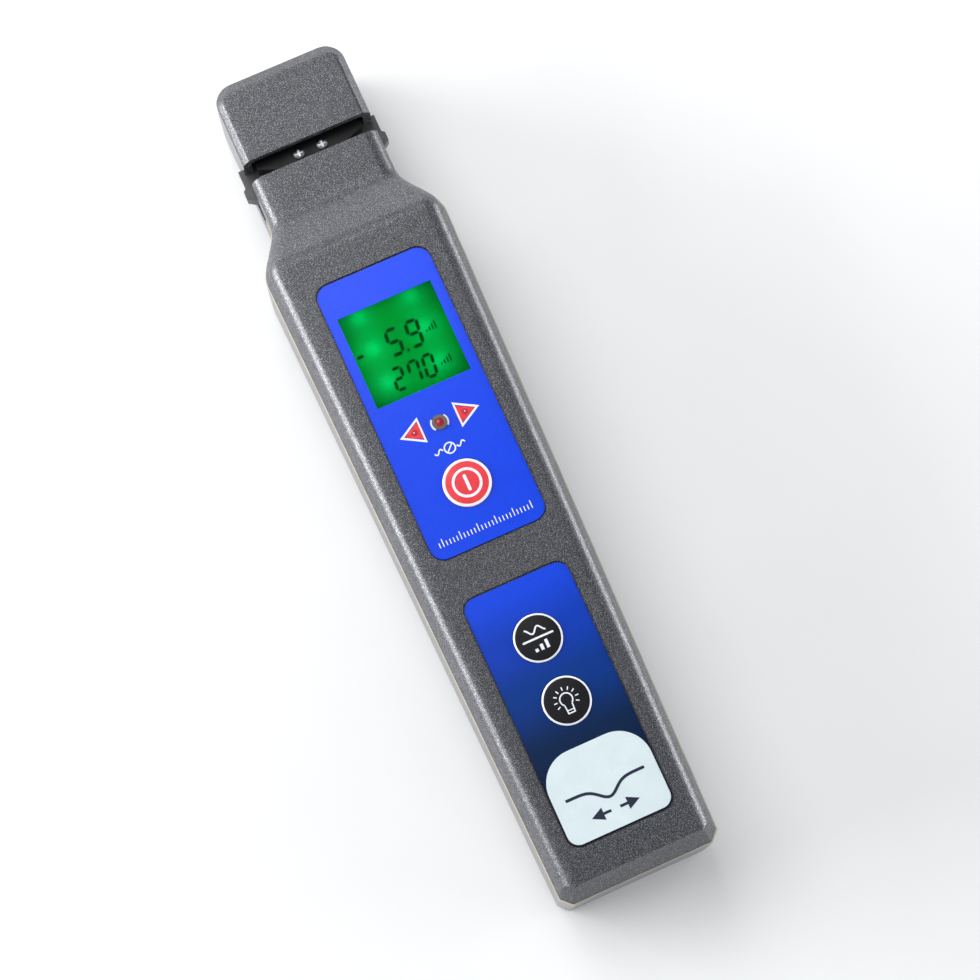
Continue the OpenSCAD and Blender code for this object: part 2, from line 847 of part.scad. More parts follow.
// Round lamp with a domed end
module lamp(r, x, z1) {
    post(r, x, y_lamps, z_board_top, z1 - r);
    translate([x, y_lamps, z1 - r]) sphere(r = r);
}

module arrow_lamps() {
    color("tomato")
        for (side = [-1, 1])
            union() lamp(arrow_lamp_r, side * arrow_x, z_bed + overlay_t - arrow_t - seat_gap);
}

module signal_lamp() {
    color("darkred") {
        lamp(signal_r, 0, z_face + signal_rise);
        post(signal_r + signal_flange, 0, y_lamps, z_board_top, z_board_top + signal_flange);
    }
}

module main_board() {
    length = y_board_high - y_board_low;
    color("darkgreen") difference() {
        block([board_width, length, board_t], 0, y_board_low + length / 2, z_board);
        at_board_screws() post(board_hole_r, 0, 0, z_board - overrun, z_board_top + overrun);
    }
}

module board_screws() {
    color("silver") at_board_screws() {
        post(board_screw_r - pin_gap, 0, 0, z_board_top - board_screw_length + seat_gap, z_board_top);
        post(board_screw_head_r, 0, 0, z_board_top, z_board_top + board_screw_head_t);
    }
}

module main_chip() {
    color("black") block(chip_size, chip_x, y_power - chip_drop, z_board_top);
}

module amplifier_chip() {
    color("black") block(amplifier_size, amplifier_x, y_power - amplifier_drop, z_board_top);
}

// Two columns of small parts and a coil
module board_parts() {
    color("tan") {
        for (column = [0, 1])
            for (i = [0:small_part_counts[column] - 1])
                block(small_part_size, (2 * column - 1) * small_part_x,
                    y_power - i * small_part_pitch, z_board_top);
        block(coil_size, amplifier_x, y_power - coil_drop, z_board_top);
    }
}

module buzzer() {
    color("black") post(buzzer_r, 0, y_power - buzzer_drop, z_board - buzzer_t, z_board);
}

module battery() {
    color("goldenrod")
        block([battery_width, battery_length, battery_thickness],
            0, y_battery + battery_length / 2, z_battery);
}

module battery_studs() {
    y1 = y_battery_top + stud_h;
    color("silver") {
        rod(stud_r, -stud_pitch / 2, z_battery_mid, y_battery_top, y1);
        difference() {
            rod(socket_r, stud_pitch / 2, z_battery_mid, y_battery_top, y1);
            rod(stud_r, stud_pitch / 2, z_battery_mid, y_battery_top + stud_h / 2, y1 + overrun);
        }
    }
}

module battery_snap() {
    color("black") difference() {
        block(snap_size, 0, y_snap + snap_size.y / 2, z_battery_mid - snap_size.z / 2);
        rod(stud_r + pin_gap, -stud_pitch / 2, z_battery_mid, y_snap - overrun, y_battery_top + stud_h);
        rod(socket_r + pin_gap, stud_pitch / 2, z_battery_mid, y_snap - overrun, y_battery_top + stud_h);
    }
}

// Tube swept along points that lie in a plane x = constant
module swept_lead(x, route) {
    last = len(route) - 1;
    n = lead_sides;
    dirs = [for (i = [0:last])
        let (d = route[min(i + 1, last)] - route[max(i - 1, 0)]) d / norm(d)];
    points = [for (i = [0:last]) for (j = [0:n - 1])
        let (a = 360 * j / n, s = lead_r * sin(a))
        [x + lead_r * cos(a), route[i][0] - s * dirs[i][1], route[i][1] + s * dirs[i][0]]];
    polyhedron(points, concat([[for (j = [n - 1:-1:0]) j]], ring_sides(n, last),
        [[for (j = [0:n - 1]) last * n + j]]));
}

module battery_leads() {
    start = [y_snap + snap_size.y, z_battery_mid];
    reach = [y_bay_top + bay_wall + board_screw_rise - start.x, z_board - seat_gap - start.y];
    route = [for (s = lead_shares) [start.x + s[0] * reach.x, start.y + s[1] * reach.y]];
    color("red") for (side = [-1, 1]) swept_lead(side * lead_x, route);
}

module battery_foam() {
    color("darkgray")
        block([battery_width - 2 * foam_margin, battery_length - 2 * foam_margin, foam_t],
            0, y_battery + battery_length / 2, z_battery - foam_t);
}

module anvil() {
    color("black") difference() {
        translate([0, 0, z_neck_seam]) linear_extrude(anvil_t) intersection() {
            bend_region(0);
            translate([-anvil_half, y_nose - overrun])
                square([2 * anvil_half, y_deck_top - y_nose + overrun]);
        }
        for (side = [-1, 1])
            post(anvil_screw_r + pin_gap, side * anvil_screw_x, y_anvil_screw,
                z_neck_seam - overrun, z_anvil_front + overrun);
    }
}

// Round-head screw with a cross slot
module anvil_screw() {
    z1 = z_anvil_front + anvil_screw_head_t;
    difference() {
        union() {
            post(anvil_screw_r - pin_gap, 0, 0, z_anvil_front - anvil_screw_length + seat_gap,
                z_anvil_front);
            intersection() {
                post(anvil_screw_head_r, 0, 0, z_anvil_front, z1);
                translate([0, 0, z1 - 2 * anvil_screw_head_r]) sphere(r = 2 * anvil_screw_head_r);
            }
        }
        for (turn = [0, 90])
            rotate([0, 0, turn]) block([cross_size.x, cross_size.y, 2 * cross_size.z],
                0, 0, z1 - cross_size.z);
    }
}

module anvil_screws() {
    color("silver")
        for (side = [-1, 1])
            translate([side * anvil_screw_x, y_anvil_screw, 0]) anvil_screw();
}

module saddle() {
    color("black") difference() {
        union() {
            span([-saddle_half, y_saddle, z_plate], [saddle_half, y_saddle_top, z_saddle_front]);
            translate([0, 0, z_plate]) linear_extrude(plate_t) plate_shape();
        }
        // Seat that follows the anvil's nose, one jaw gap away
        translate([0, 0, z_plate_front]) linear_extrude(z_face) bend_region(jaw_gap);
        // Window round the anvil's post
        span([-post_half - plate_window_gap, y_post - slide_gap, z_plate - overrun],
            [post_half + plate_window_gap, y_ear_high + overrun, z_plate_front + overrun]);
        // Bed of the sensor board
        span([-sensor_board_w / 2 - seat_gap, y_saddle - overrun, z_sensor - sensor_board_h / 2 - seat_gap],
            [sensor_board_w / 2 + seat_gap, y_sensor_front, z_saddle_front + overrun]);
        for (side = [-1, 1]) {
            rod(can_flange_r + pin_gap, side * sensor_x, z_sensor, y_saddle, y_sensor_front + can_flange_t);
            rod(can_r + pin_gap, side * sensor_x, z_sensor, y_saddle, y_sensor_front + can_h);
            rod(sensor_window_r, side * sensor_x, z_sensor, y_saddle, y_lip);
            rod(pin_r + pin_gap, side * pin_x, z_pin, y_saddle - overrun, y_saddle + pin_length / 2);
        }
    }
}

module saddle_pins() {
    color("silver")
        for (side = [-1, 1])
            rod(pin_r, side * pin_x, z_pin, y_saddle - pin_length / 2 + seat_gap,
                y_saddle + pin_length / 2 - seat_gap);
}

module lens(side, r) {
    translate([side * sensor_x, y_sensor_front + can_h + lens_rise - lens_r, z_sensor]) sphere(r = r);
}

module detectors() {
    color("gold")
        for (side = [-1, 1])
            difference() {
                union() {
                    rod(can_flange_r, side * sensor_x, z_sensor, y_sensor_front,
                        y_sensor_front + can_flange_t);
                    rod(can_r, side * sensor_x, z_sensor, y_sensor_front, y_sensor_front + can_h);
                }
                lens(side, lens_r + pin_gap);
            }
}

module detector_lenses() {
    color("lightcyan") for (side = [-1, 1]) lens(side, lens_r);
}

module sensor_board() {
    color("darkgreen")
        span([-sensor_board_w / 2, y_saddle, z_sensor - sensor_board_h / 2],
            [sensor_board_w / 2, y_sensor_front, z_carriage_top + strip_t]);
}

// Flexible strip from the sensor board over the carriage to the main board
module sensor_strip() {
    z0 = z_carriage_top;
    z_high = z_board_top + strip_slack;
    line = [[y_saddle, z0], [y_carriage + strip_bend, z0], [y_carriage, z0 + strip_bend / 2],
        [y_carriage - strip_bend, z_high - strip_bend], [y_carriage - 2 * strip_bend, z_high],
        [y_board_high + strip_bend, z_high], [y_board_high + strip_bend / 2, z_high - strip_bend],
        [y_board_high - strip_bend / 2, z_board_top], [y_frame_top + slide_gap, z_board_top]];
    back = [for (i = [len(line) - 1:-1:0]) line[i] + [0, strip_t]];
    color("darkorange") translate([-strip_width / 2, 0, 0]) rotate([90, 0, 90])
        linear_extrude(strip_width) polygon(concat(line, back));
}

module carriage() {
    color("gainsboro") difference() {
        span([-carriage_half, y_carriage, z_carriage], [carriage_half, y_saddle, z_carriage_top]);
        for (side = [-1, 1]) {
            rod(rod_r + pin_gap, side * rod_x, z_rod, y_carriage - overrun, y_saddle + overrun);
            rod(pin_r + pin_gap, side * pin_x, z_pin, y_saddle - pin_length / 2, y_saddle + overrun);
        }
        rod(link_screw_r, 0, z_link_screw, y_carriage - overrun, y_carriage + link_screw_length);
    }
}

module guide_rods() {
    color("silver")
        for (side = [-1, 1])
            rod(rod_r, side * rod_x, z_rod, y_rod_stop - stop_wall / 2 + seat_gap,
                y_stop + stop_wall / 2 - seat_gap);
}

// Helical spring round a rod, with its ends square to its seats
module return_spring(side) {
    last = spring_curls * spring_rings;
    n = spring_sides;
    rise = spring_length - 2 * (slide_gap + spring_wire_r);
    echo(least_gap_in_spring = rise / spring_curls - 2 * spring_wire_r);
    points = [for (i = [0:last]) for (j = [0:n - 1])
        let (
            a = 360 * i / spring_rings,
            b = 360 * j / n,
            radius = spring_r - spring_wire_r * (1 - cos(b))
        )
        [side * rod_x + radius * cos(a),
            y_rod_stop + slide_gap + spring_wire_r * (1 + sin(b)) + rise * i / last,
            z_rod + radius * sin(a)]];
    color("silver") polyhedron(points, concat([for (j = [1:n - 2]) [0, j, j + 1]],
        [for (f = ring_sides(n, last)) [f[2], f[1], f[0]]],
        [for (j = [1:n - 2]) [last * n, last * n + j + 1, last * n + j]]));
}

module left_return_spring() {
    return_spring(-1);
}

module right_return_spring() {
    return_spring(1);
}

module trigger() {
    z_pad = pocket_depth - slide_gap;
    color("black") difference() {
        union() {
            // Pad with an upright upper face to pull on
            translate([-pad_half, 0, 0]) rotate([90, 0, 90]) linear_extrude(2 * pad_half)
                polygon([[y_pad, z_pad], [y_pad, z_pad - pad_edge],
                    [y_pad + pad_length / 3, pad_rise + pad_heel], [y_pad_top, pad_rise],
                    [y_pad_top, z_pad]]);
            span([-stem_half, y_stem, z_pad - pad_edge], [stem_half, y_stem + stem_length, z_link]);
        }
        for (i = [1:pad_ribs])
            translate([-pad_half - overrun, y_pad_top - i * rib_pitch, pad_rise])
                rotate([0, 90, 0]) cylinder(r = rib_r, h = 2 * (pad_half + overrun));
        for (y = link_screw_ys) post(link_screw_r, 0, y, z_link - link_screw_length, z_link + overrun);
    }
}

module trigger_link() {
    color("lightsteelblue") difference() {
        union() {
            span([-link_half, y_stem, z_link], [link_half, y_carriage, z_link + link_t]);
            span([-link_half, y_carriage - link_t, z_link], [link_half, y_carriage, z_link + link_tab_h]);
        }
        for (y = link_screw_ys)
            post(link_screw_r + pin_gap, 0, y, z_link - overrun, z_link + link_t + overrun);
        rod(link_screw_r + pin_gap, 0, z_link_screw, y_carriage - link_t - overrun, y_carriage + overrun);
    }
}

module link_screws() {
    z1 = z_link + link_t;
    y0 = y_carriage - link_t;
    r = link_screw_r - pin_gap;
    color("silver") {
        for (y = link_screw_ys) {
            post(r, 0, y, z_link - link_screw_length + seat_gap, z1);
            post(link_screw_head_r, 0, y, z1, z1 + link_screw_head_t);
        }
        rod(r, 0, z_link_screw, y0, y_carriage + link_screw_length - seat_gap);
        rod(link_screw_head_r, 0, z_link_screw, y0 - link_screw_head_t, y0);
    }
}

module shell_screw(sink, z1) {
    post(screw_head_r, 0, 0, sink, sink + screw_head_t);
    post(screw_core_r - pin_gap, 0, 0, sink + screw_head_t, z1);
}

module shell_screws() {
    color("silver") at_shell_screws() shell_screw(screw_sink, z_face - screw_end_gap);
}

module head_screws() {
    color("silver") at_head_screws() shell_screw(head_screw_sink, z_head - head_screw_end_gap);
}

rear_shell();
front_shell();
head_cover();
seam_gasket();
battery_door();
upper_overlay();
lower_overlay();
display_window();
display_glass();
display_backlight();
display_frame();
contact_strips();
power_key();
mode_key();
lamp_key();
power_plunger();
mode_plunger();
lamp_plunger();
key_switches();
left_arrow_window();
right_arrow_window();
arrow_lamps();
signal_lamp();
main_board();
board_screws();
main_chip();
amplifier_chip();
board_parts();
buzzer();
battery();
battery_studs();
battery_snap();
battery_leads();
battery_foam();
anvil();
anvil_screws();
saddle();
saddle_pins();
detectors();
detector_lenses();
sensor_board();
sensor_strip();
carriage();
guide_rods();
left_return_spring();
right_return_spring();
trigger();
trigger_link();
link_screws();
shell_screws();
head_screws();
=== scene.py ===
"""Optical fibre identifier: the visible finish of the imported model."""
import json
import math

import bmesh
import bpy
from mathutils import Matrix, Vector


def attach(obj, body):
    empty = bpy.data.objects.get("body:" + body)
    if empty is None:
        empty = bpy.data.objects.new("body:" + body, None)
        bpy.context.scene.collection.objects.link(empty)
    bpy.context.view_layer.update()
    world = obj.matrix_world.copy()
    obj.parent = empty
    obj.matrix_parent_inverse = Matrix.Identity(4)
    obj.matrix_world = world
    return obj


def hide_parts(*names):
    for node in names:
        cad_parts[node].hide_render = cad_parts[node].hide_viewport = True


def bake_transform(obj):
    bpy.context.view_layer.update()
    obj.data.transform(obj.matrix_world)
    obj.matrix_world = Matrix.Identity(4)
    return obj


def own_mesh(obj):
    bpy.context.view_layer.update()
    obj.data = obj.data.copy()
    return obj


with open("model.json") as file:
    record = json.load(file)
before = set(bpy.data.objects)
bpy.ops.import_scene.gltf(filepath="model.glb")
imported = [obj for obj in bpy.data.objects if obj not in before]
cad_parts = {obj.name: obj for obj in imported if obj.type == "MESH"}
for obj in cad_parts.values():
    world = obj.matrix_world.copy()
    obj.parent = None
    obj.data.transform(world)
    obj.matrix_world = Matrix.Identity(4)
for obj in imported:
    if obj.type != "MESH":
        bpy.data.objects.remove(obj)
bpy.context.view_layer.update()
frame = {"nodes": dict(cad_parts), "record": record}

# Millimetres to metres: pieces are built in millimetres and scaled when they are placed
MM = 0.001

# Housing, in millimetres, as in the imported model
Y_END = -115.2
Y_TOP = 115.2
Y_HEAD = 92.6
Y_LIP = 87.5
Y_NECK = 77.3
Y_SHOULDER = 59.5
Z_FACE = 36
Z_HEAD = 27
SEAM_DEPTH = 9
HEAD_DROP = Z_FACE - Z_HEAD
WALL = 2.2
END_WIDTH = 42.6
SHOULDER_WIDTH = 50.3
NECK_WIDTH = 36.2
HEAD_CORNER = 5.5

# Ramp from the face down to the neck, and the share of its length over which each end bends
Y_RAMP = 76.6
RAMP_LENGTH = 17.6
RAMP_EASE = 0.27

# Front shell: lean of its walls, how much straighter they stand at the neck, and the
# chamfer along its long edges with the rounds over the chamfer's borders
BODY_LEAN = 1.9
NECK_STRAIGHTER = 1.35
BODY_CHAMFER = 2.2
BODY_SOFT = 1.35

# Bottom end of the front shell: its lean, its cut corners and the rounds of its edges
END_LEAN = 3.4
END_CORNER = 2.4
END_SOFT = 0.55

# Head cover: lean, depth below the seam, chamfer and rounds
HEAD_LEAN = 0.2
HEAD_SKIRT = 0.5
HEAD_CHAMFER = 1.9
HEAD_SOFT = 0.6

# Stretch at the top end over which the head's edge falls away, and by how much
FALL_FROM = 7
FALL_LENGTH = 5.5
FALL_BACK = 1.7
FALL_DOWN = 1.2

# How far a shape runs past the plane that cuts it, and a tool past the face it opens
OVERRUN = 8
CUT_OVER = 2
# How near a vertex lies to a level to count as on it
NEAR = 0.01

# Ledge of the gasket that shows outside the front shell; the gasket's pale strip there is a painted
# highlight along the seam
LEDGE = 0.25

# Films: heights of their beds and their tops, upper ends, sizes, corners and the gap round them
Z_BED = 35.3
Z_FILM = 35.8
Y_UPPER = 51.3
UPPER = (31, 76.8)
UPPER_CORNER = 3.7
Y_LOWER = -37.0
LOWER = (28.1, 66.4)
LOWER_CORNER = 3.3
BED_GAP = 0.4

# Middles of the display, the row of lamps and the three keys
Y_DISPLAY = 29.2
Y_LAMPS = 7.1
Y_POWER = -9.8
Y_MODE = -52.6
Y_LAMP_KEY = -69.6

# Display opening, and the height of the glass under it
DISPLAY = (25.6, 25.4)
Z_GLASS = 33.6

# Cap of a key: radius, height of its rim, rise of its dome and round of its rim
KEY_R = 6.2
KEY_TOP = 36.05
KEY_DOME = 0.22
KEY_ROUND = 0.3

# Gaps round the keys, in the shell and in the films
KEY_WAY = 0.3
KEY_FILM_GAP = 0.12
# Room for the rim of the display window
WINDOW_RIM = 3
# Radii of the round lamp's openings, in the shell and in the film
LAMP_WAY_R = 2.1
LAMP_FILM_R = 1.9

# Arrow windows: distance from the middle, half their length and half their height
ARROW_X = 7.15
ARROW_HALF = 2.45
ARROW_RISE = 2.6

# Key below its cap: stem and flange
KEY_STEM_R = 2.2
KEY_FLANGE_R = 7.1
Z_KEY_LOW = 32.0
Z_FLANGE_LOW = 32.8
Z_FLANGE_TOP = 33.6
# Radii of the white band that goes over the rounded rim
RIM_RINGS = [(5.9, 6.06), (6.06, 6.16)]

# Floor, in metres: its size, and the gap that keeps it out of the plane of the back
FLOOR_SIZE = 6
FLOOR_GAP = 0.0002


def half_width(y):
    """Half the width of the housing at the seam."""
    if y >= Y_NECK:
        return NECK_WIDTH / 2
    if y <= Y_SHOULDER:
        share = (y - Y_END) / (Y_SHOULDER - Y_END)
        return (END_WIDTH + (SHOULDER_WIDTH - END_WIDTH) * share) / 2
    turn = math.pi * (Y_NECK - y) / (Y_NECK - Y_SHOULDER)
    return (NECK_WIDTH + (SHOULDER_WIDTH - NECK_WIDTH) * (1 - math.cos(turn)) / 2) / 2


def drop(y):
    """How far the front has fallen below the face at a place along the ramp."""
    t = min(max((Y_RAMP - y) / RAMP_LENGTH, 0), 1)
    if t < RAMP_EASE:
        share = t * t / (2 * RAMP_EASE)
    elif t > 1 - RAMP_EASE:
        share = 1 - RAMP_EASE - (1 - t) ** 2 / (2 * RAMP_EASE)
    else:
        share = t - RAMP_EASE / 2
    return HEAD_DROP * (1 - share / (1 - RAMP_EASE))


def srgb(red, green, blue):
    """Screen colour, 0 to 255, as a linear colour."""
    linear = []
    for value in (red, green, blue):
        share = value / 255
        linear.append(share / 12.92 if share <= 0.04045 else ((share + 0.055) / 1.055) ** 2.4)
    return (*linear, 1)


# Finishes

class Finish:
    """A node material on Object coordinates. Sizes on the surface are in millimetres."""

    def __init__(self, name, roughness=0.5, metallic=0.0, **sockets):
        self.material = bpy.data.materials.new(name)
        self.material.use_nodes = True
        self.tree = self.material.node_tree
        self.shader = self.tree.nodes["Principled BSDF"]
        self.place = self.node("ShaderNodeTexCoord").outputs["Object"]
        self.set("Roughness", roughness)
        self.set("Metallic", metallic)
        for socket, value in sockets.items():
            self.set(socket.replace("_", " "), value)

    def node(self, kind, inputs=None, **settings):
        made = self.tree.nodes.new(kind)
        for name, value in settings.items():
            setattr(made, name, value)
        for name, value in (inputs or {}).items():
            self.join(value, made.inputs[name])
        return made

    def join(self, value, socket):
        if isinstance(value, bpy.types.NodeSocket):
            self.tree.links.new(value, socket)
        else:
            socket.default_value = value

    def set(self, socket, value):
        self.join(value, self.shader.inputs[socket])

    def noise(self, size, detail=2.0, stretch=(1, 1, 1)):
        # Turned, so that no flat wall lies along the noise's own grid, where it would band
        place = self.node("ShaderNodeMapping", {
            "Vector": self.place, "Scale": stretch, "Rotation": (0.6, 0.45, 0.8)})
        return self.node("ShaderNodeTexNoise", {
            "Vector": place.outputs["Vector"], "Scale": 1 / (size * MM),
            "Detail": detail}).outputs["Fac"]

    def spread(self, value, low, high, to_low=0.0, to_high=1.0, smooth=False):
        """Range of a value stretched to another range."""
        kind = "SMOOTHSTEP" if smooth else "LINEAR"
        return self.node("ShaderNodeMapRange", {
            "Value": value, "From Min": low, "From Max": high, "To Min": to_low,
            "To Max": to_high}, interpolation_type=kind).outputs["Result"]

    def sums(self, operation, a, b):
        """One step of arithmetic on two values or sockets."""
        made = self.node("ShaderNodeMath", operation=operation)
        self.join(a, made.inputs[0])
        self.join(b, made.inputs[1])
        return made.outputs["Value"]

    def mix(self, factor, a, b, blend="MIX"):
        made = self.node("ShaderNodeMix", data_type="RGBA", blend_type=blend)
        # The node's sockets for its factor and for colours
        for place, value in ((0, factor), (6, a), (7, b)):
            self.join(value, made.inputs[place])
        return made.outputs[2]

    def along(self, axis):
        """Place along one axis, in millimetres."""
        split = self.node("ShaderNodeSeparateXYZ", {"Vector": self.place})
        return self.sums("DIVIDE", split.outputs[axis], MM)

    def away(self, centre):
        """Distance across the face from a point, in millimetres."""
        x = self.sums("SUBTRACT", self.along("X"), centre[0])
        y = self.sums("SUBTRACT", self.along("Y"), centre[1])
        square = self.sums("ADD", self.sums("MULTIPLY", x, x), self.sums("MULTIPLY", y, y))
        return self.sums("POWER", square, 0.5)

    def relief(self, height, depth, strength):
        """Bump of a given depth, in millimetres."""
        bump = self.node("ShaderNodeBump", {
            "Height": height, "Distance": depth * MM, "Strength": strength})
        self.set("Normal", bump.outputs["Normal"])


def speckled_paint():
    """Grey plastic full of fine metallic flakes, smoother on upright walls than on leaning ones."""
    finish = Finish("speckled_grey")
    fleck = finish.spread(finish.noise(0.19), 0.38, 0.62)
    flake = finish.spread(finish.noise(0.17, detail=0.0), 0.6, 0.72)
    shade = finish.mix(fleck, srgb(18, 19, 21), srgb(80, 81, 86))
    shade = finish.mix(flake, shade, srgb(156, 158, 165))
    cloud = finish.spread(finish.noise(9.0), 0.3, 0.7, 0.95, 1.04)
    veil = finish.node("ShaderNodeCombineColor", {"Red": cloud, "Green": cloud, "Blue": cloud})
    finish.set("Base Color", finish.mix(1.0, shade, veil.outputs["Color"], "MULTIPLY"))
    finish.set("Metallic", finish.sums("MULTIPLY", finish.sums("ADD", fleck, flake), 0.3))
    # The surface's own normal tells how steeply it stands
    normal = finish.node("ShaderNodeTexCoord").outputs["Normal"]
    facing = finish.node("ShaderNodeSeparateXYZ", {"Vector": normal}).outputs["Z"]
    tilt = finish.sums("ABSOLUTE", facing, 0.0)
    upright = finish.spread(tilt, 0.03, 0.15, 1.0, 0.0)
    leaning = finish.sums("SUBTRACT", finish.spread(tilt, 0.2, 0.5, 1.0, 0.0), upright)
    rough = finish.sums("ADD", finish.spread(fleck, 0, 1, 0.4, 0.33),
                        finish.sums("MULTIPLY", leaning, 0.28))
    finish.set("Roughness", finish.sums("SUBTRACT", rough, finish.sums("MULTIPLY", upright, 0.13)))
    grain = finish.sums("ADD", finish.sums("MULTIPLY", leaning, 0.8), 1.0)
    finish.relief(finish.sums("MULTIPLY", finish.noise(0.2, detail=2), grain), 0.012, 0.6)
    return finish.material


def moulded(name, dark, light, roughness=0.45, grain=0.5, depth=0.015, **sockets):
    """Moulded plastic or rubber: slow patches of tone over a fine grain."""
    finish = Finish(name, roughness=roughness, **sockets)
    tone = finish.sums("ADD", finish.sums("MULTIPLY", finish.noise(6.0), 0.6),
                       finish.sums("MULTIPLY", finish.noise(grain, detail=3), 0.4))
    tone = finish.spread(tone, 0.35, 0.65)
    finish.set("Base Color", finish.mix(tone, dark, light))
    finish.set("Roughness", finish.spread(tone, 0, 1, roughness + 0.06, roughness - 0.06))
    finish.relief(finish.noise(grain, detail=3), depth, 0.7)
    return finish.material


def metal(name, dark, light, roughness=0.25):
    """Metal with fine lines from drawing or turning."""
    finish = Finish(name, roughness=roughness, metallic=1.0)
    line = finish.noise(0.15, detail=4, stretch=(1, 0.06, 1))
    stain = finish.spread(finish.noise(3.0), 0.4, 0.7)
    shade = finish.mix(finish.spread(line, 0.3, 0.7), dark, light)
    finish.set("Base Color", finish.mix(finish.sums("MULTIPLY", stain, 0.3), shade, dark))
    finish.set("Roughness", finish.spread(line, 0.3, 0.7, roughness + 0.1, roughness - 0.05))
    finish.relief(line, 0.004, 0.6)
    return finish.material


def film(name, stops):
    """Printed overlay film: a colour ramp along the face under a satin skin."""
    roughness = 0.21
    finish = Finish(name, roughness=roughness, Specular_IOR_Level=0.22)
    low = stops[0][0]
    high = stops[-1][0]
    ramp = finish.node("ShaderNodeValToRGB", {
        "Fac": finish.spread(finish.along("Y"), low, high)})
    ramp.color_ramp.interpolation = "EASE"
    points = ramp.color_ramp.elements
    while len(points) < len(stops):
        points.new(0.5)
    for point, (y, color) in zip(points, stops):
        point.position = (y - low) / (high - low)
        point.color = color
    tooth = finish.noise(0.5, detail=3)
    ink = finish.sums("ADD", finish.spread(finish.noise(2.5, detail=3), 0.3, 0.7, 0.0, 0.05),
                      finish.spread(finish.noise(0.3, detail=1), 0.35, 0.65, 0.0, 0.13))
    finish.set("Base Color", finish.mix(ink, ramp.outputs["Color"], srgb(16, 26, 80)))
    finish.set("Roughness", finish.spread(tooth, 0.3, 0.7, roughness + 0.05, roughness - 0.05))
    finish.relief(tooth, 0.006, 0.5)
    return finish.material


def backlit_green():
    """Lit display: green glow with a brighter spot over each lamp behind it."""
    finish = Finish("display_green", roughness=0.3, Specular_IOR_Level=0.0)
    glow = 0.0
    for x, column in ((-7.5, 1.0), (6.7, 0.85)):
        for y, row in ((40.6, 0.8), (31.8, 1.0), (22.4, 0.85)):
            # A bright core in a wider halo
            for radius, part in ((3.2, 0.55), (7.0, 0.42)):
                power = row * column * part
                spot = finish.spread(finish.away((x, y)), 0.0, radius, power, 0.0, smooth=True)
                glow = finish.sums("ADD", glow, spot)
    edge = finish.spread(finish.away((0, Y_DISPLAY)), 8.0, 18.0, 0.0, 1.0, smooth=True)
    color = finish.mix(edge, srgb(0, 160, 48), srgb(0, 106, 26))
    color = finish.mix(glow, color, srgb(0, 236, 112))
    grain = finish.spread(finish.noise(0.35), 0.3, 0.7, 0.0, 0.1)
    color = finish.mix(grain, color, srgb(0, 90, 30))
    finish.set("Base Color", (0.0, 0.02, 0.005, 1))
    finish.set("Emission Color", color)
    finish.set("Emission Strength", 0.88)
    finish.relief(finish.noise(0.8), 0.002, 0.3)
    return finish.material


def display_ink():
    """Dark crystal of a switched segment, faintly lit from behind."""
    finish = Finish("display_ink", roughness=0.35, Specular_IOR_Level=0.0)
    tone = finish.spread(finish.noise(0.8, detail=3), 0.3, 0.7)
    finish.set("Base Color", (0.0, 0.01, 0.003, 1))
    finish.set("Emission Color", finish.mix(tone, srgb(0, 48, 12), srgb(0, 66, 20)))
    finish.set("Emission Strength", 1.0)
    return finish.material


def clear_plastic(name, tint, roughness=0.03, ior=1.45):
    """Clear moulding or glass with faint smears."""
    finish = Finish(name, roughness=roughness, Transmission_Weight=1.0, IOR=ior)
    smear = finish.spread(finish.noise(7.0, detail=3), 0.45, 0.75)
    finish.set("Base Color", finish.mix(smear, tint, (0.95, 0.98, 0.96, 1)))
    finish.set("Roughness", finish.spread(smear, 0, 1, roughness, roughness + 0.04))
    return finish.material


def lamp_plastic(name, dark, light, glow):
    """Tinted clear plastic of a lamp or a lamp window."""
    finish = Finish(name, roughness=0.18, Coat_Weight=0.4, Coat_Roughness=0.08)
    tone = finish.spread(finish.noise(0.9, detail=3), 0.35, 0.65)
    color = finish.mix(tone, dark, light)
    finish.set("Base Color", color)
    finish.set("Emission Color", color)
    finish.set("Emission Strength", glow)
    finish.relief(finish.noise(0.5), 0.004, 0.5)
    return finish.material


def circuit_board():
    """Green solder mask over copper tracks."""
    finish = Finish("board_green", roughness=0.3, Coat_Weight=0.3, Coat_Roughness=0.15)
    place = finish.node("ShaderNodeMapping", {"Vector": finish.place, "Scale": (500, 380, 1)})
    brick = finish.node("ShaderNodeTexBrick", {
        "Vector": place.outputs["Vector"], "Scale": 1.0, "Mortar Size": 0.04,
        "Color1": (0, 0, 0, 1), "Color2": (0.2, 0.2, 0.2, 1), "Mortar": (1, 1, 1, 1)})
    tone = finish.noise(4.0, detail=3)
    mask = finish.mix(finish.spread(tone, 0.3, 0.7), srgb(10, 62, 34), srgb(18, 84, 44))
    track = finish.mix(brick.outputs["Fac"], mask, srgb(52, 122, 60))
    finish.set("Base Color", track)
    finish.relief(brick.outputs["Fac"], 0.03, 0.6)
    return finish.material


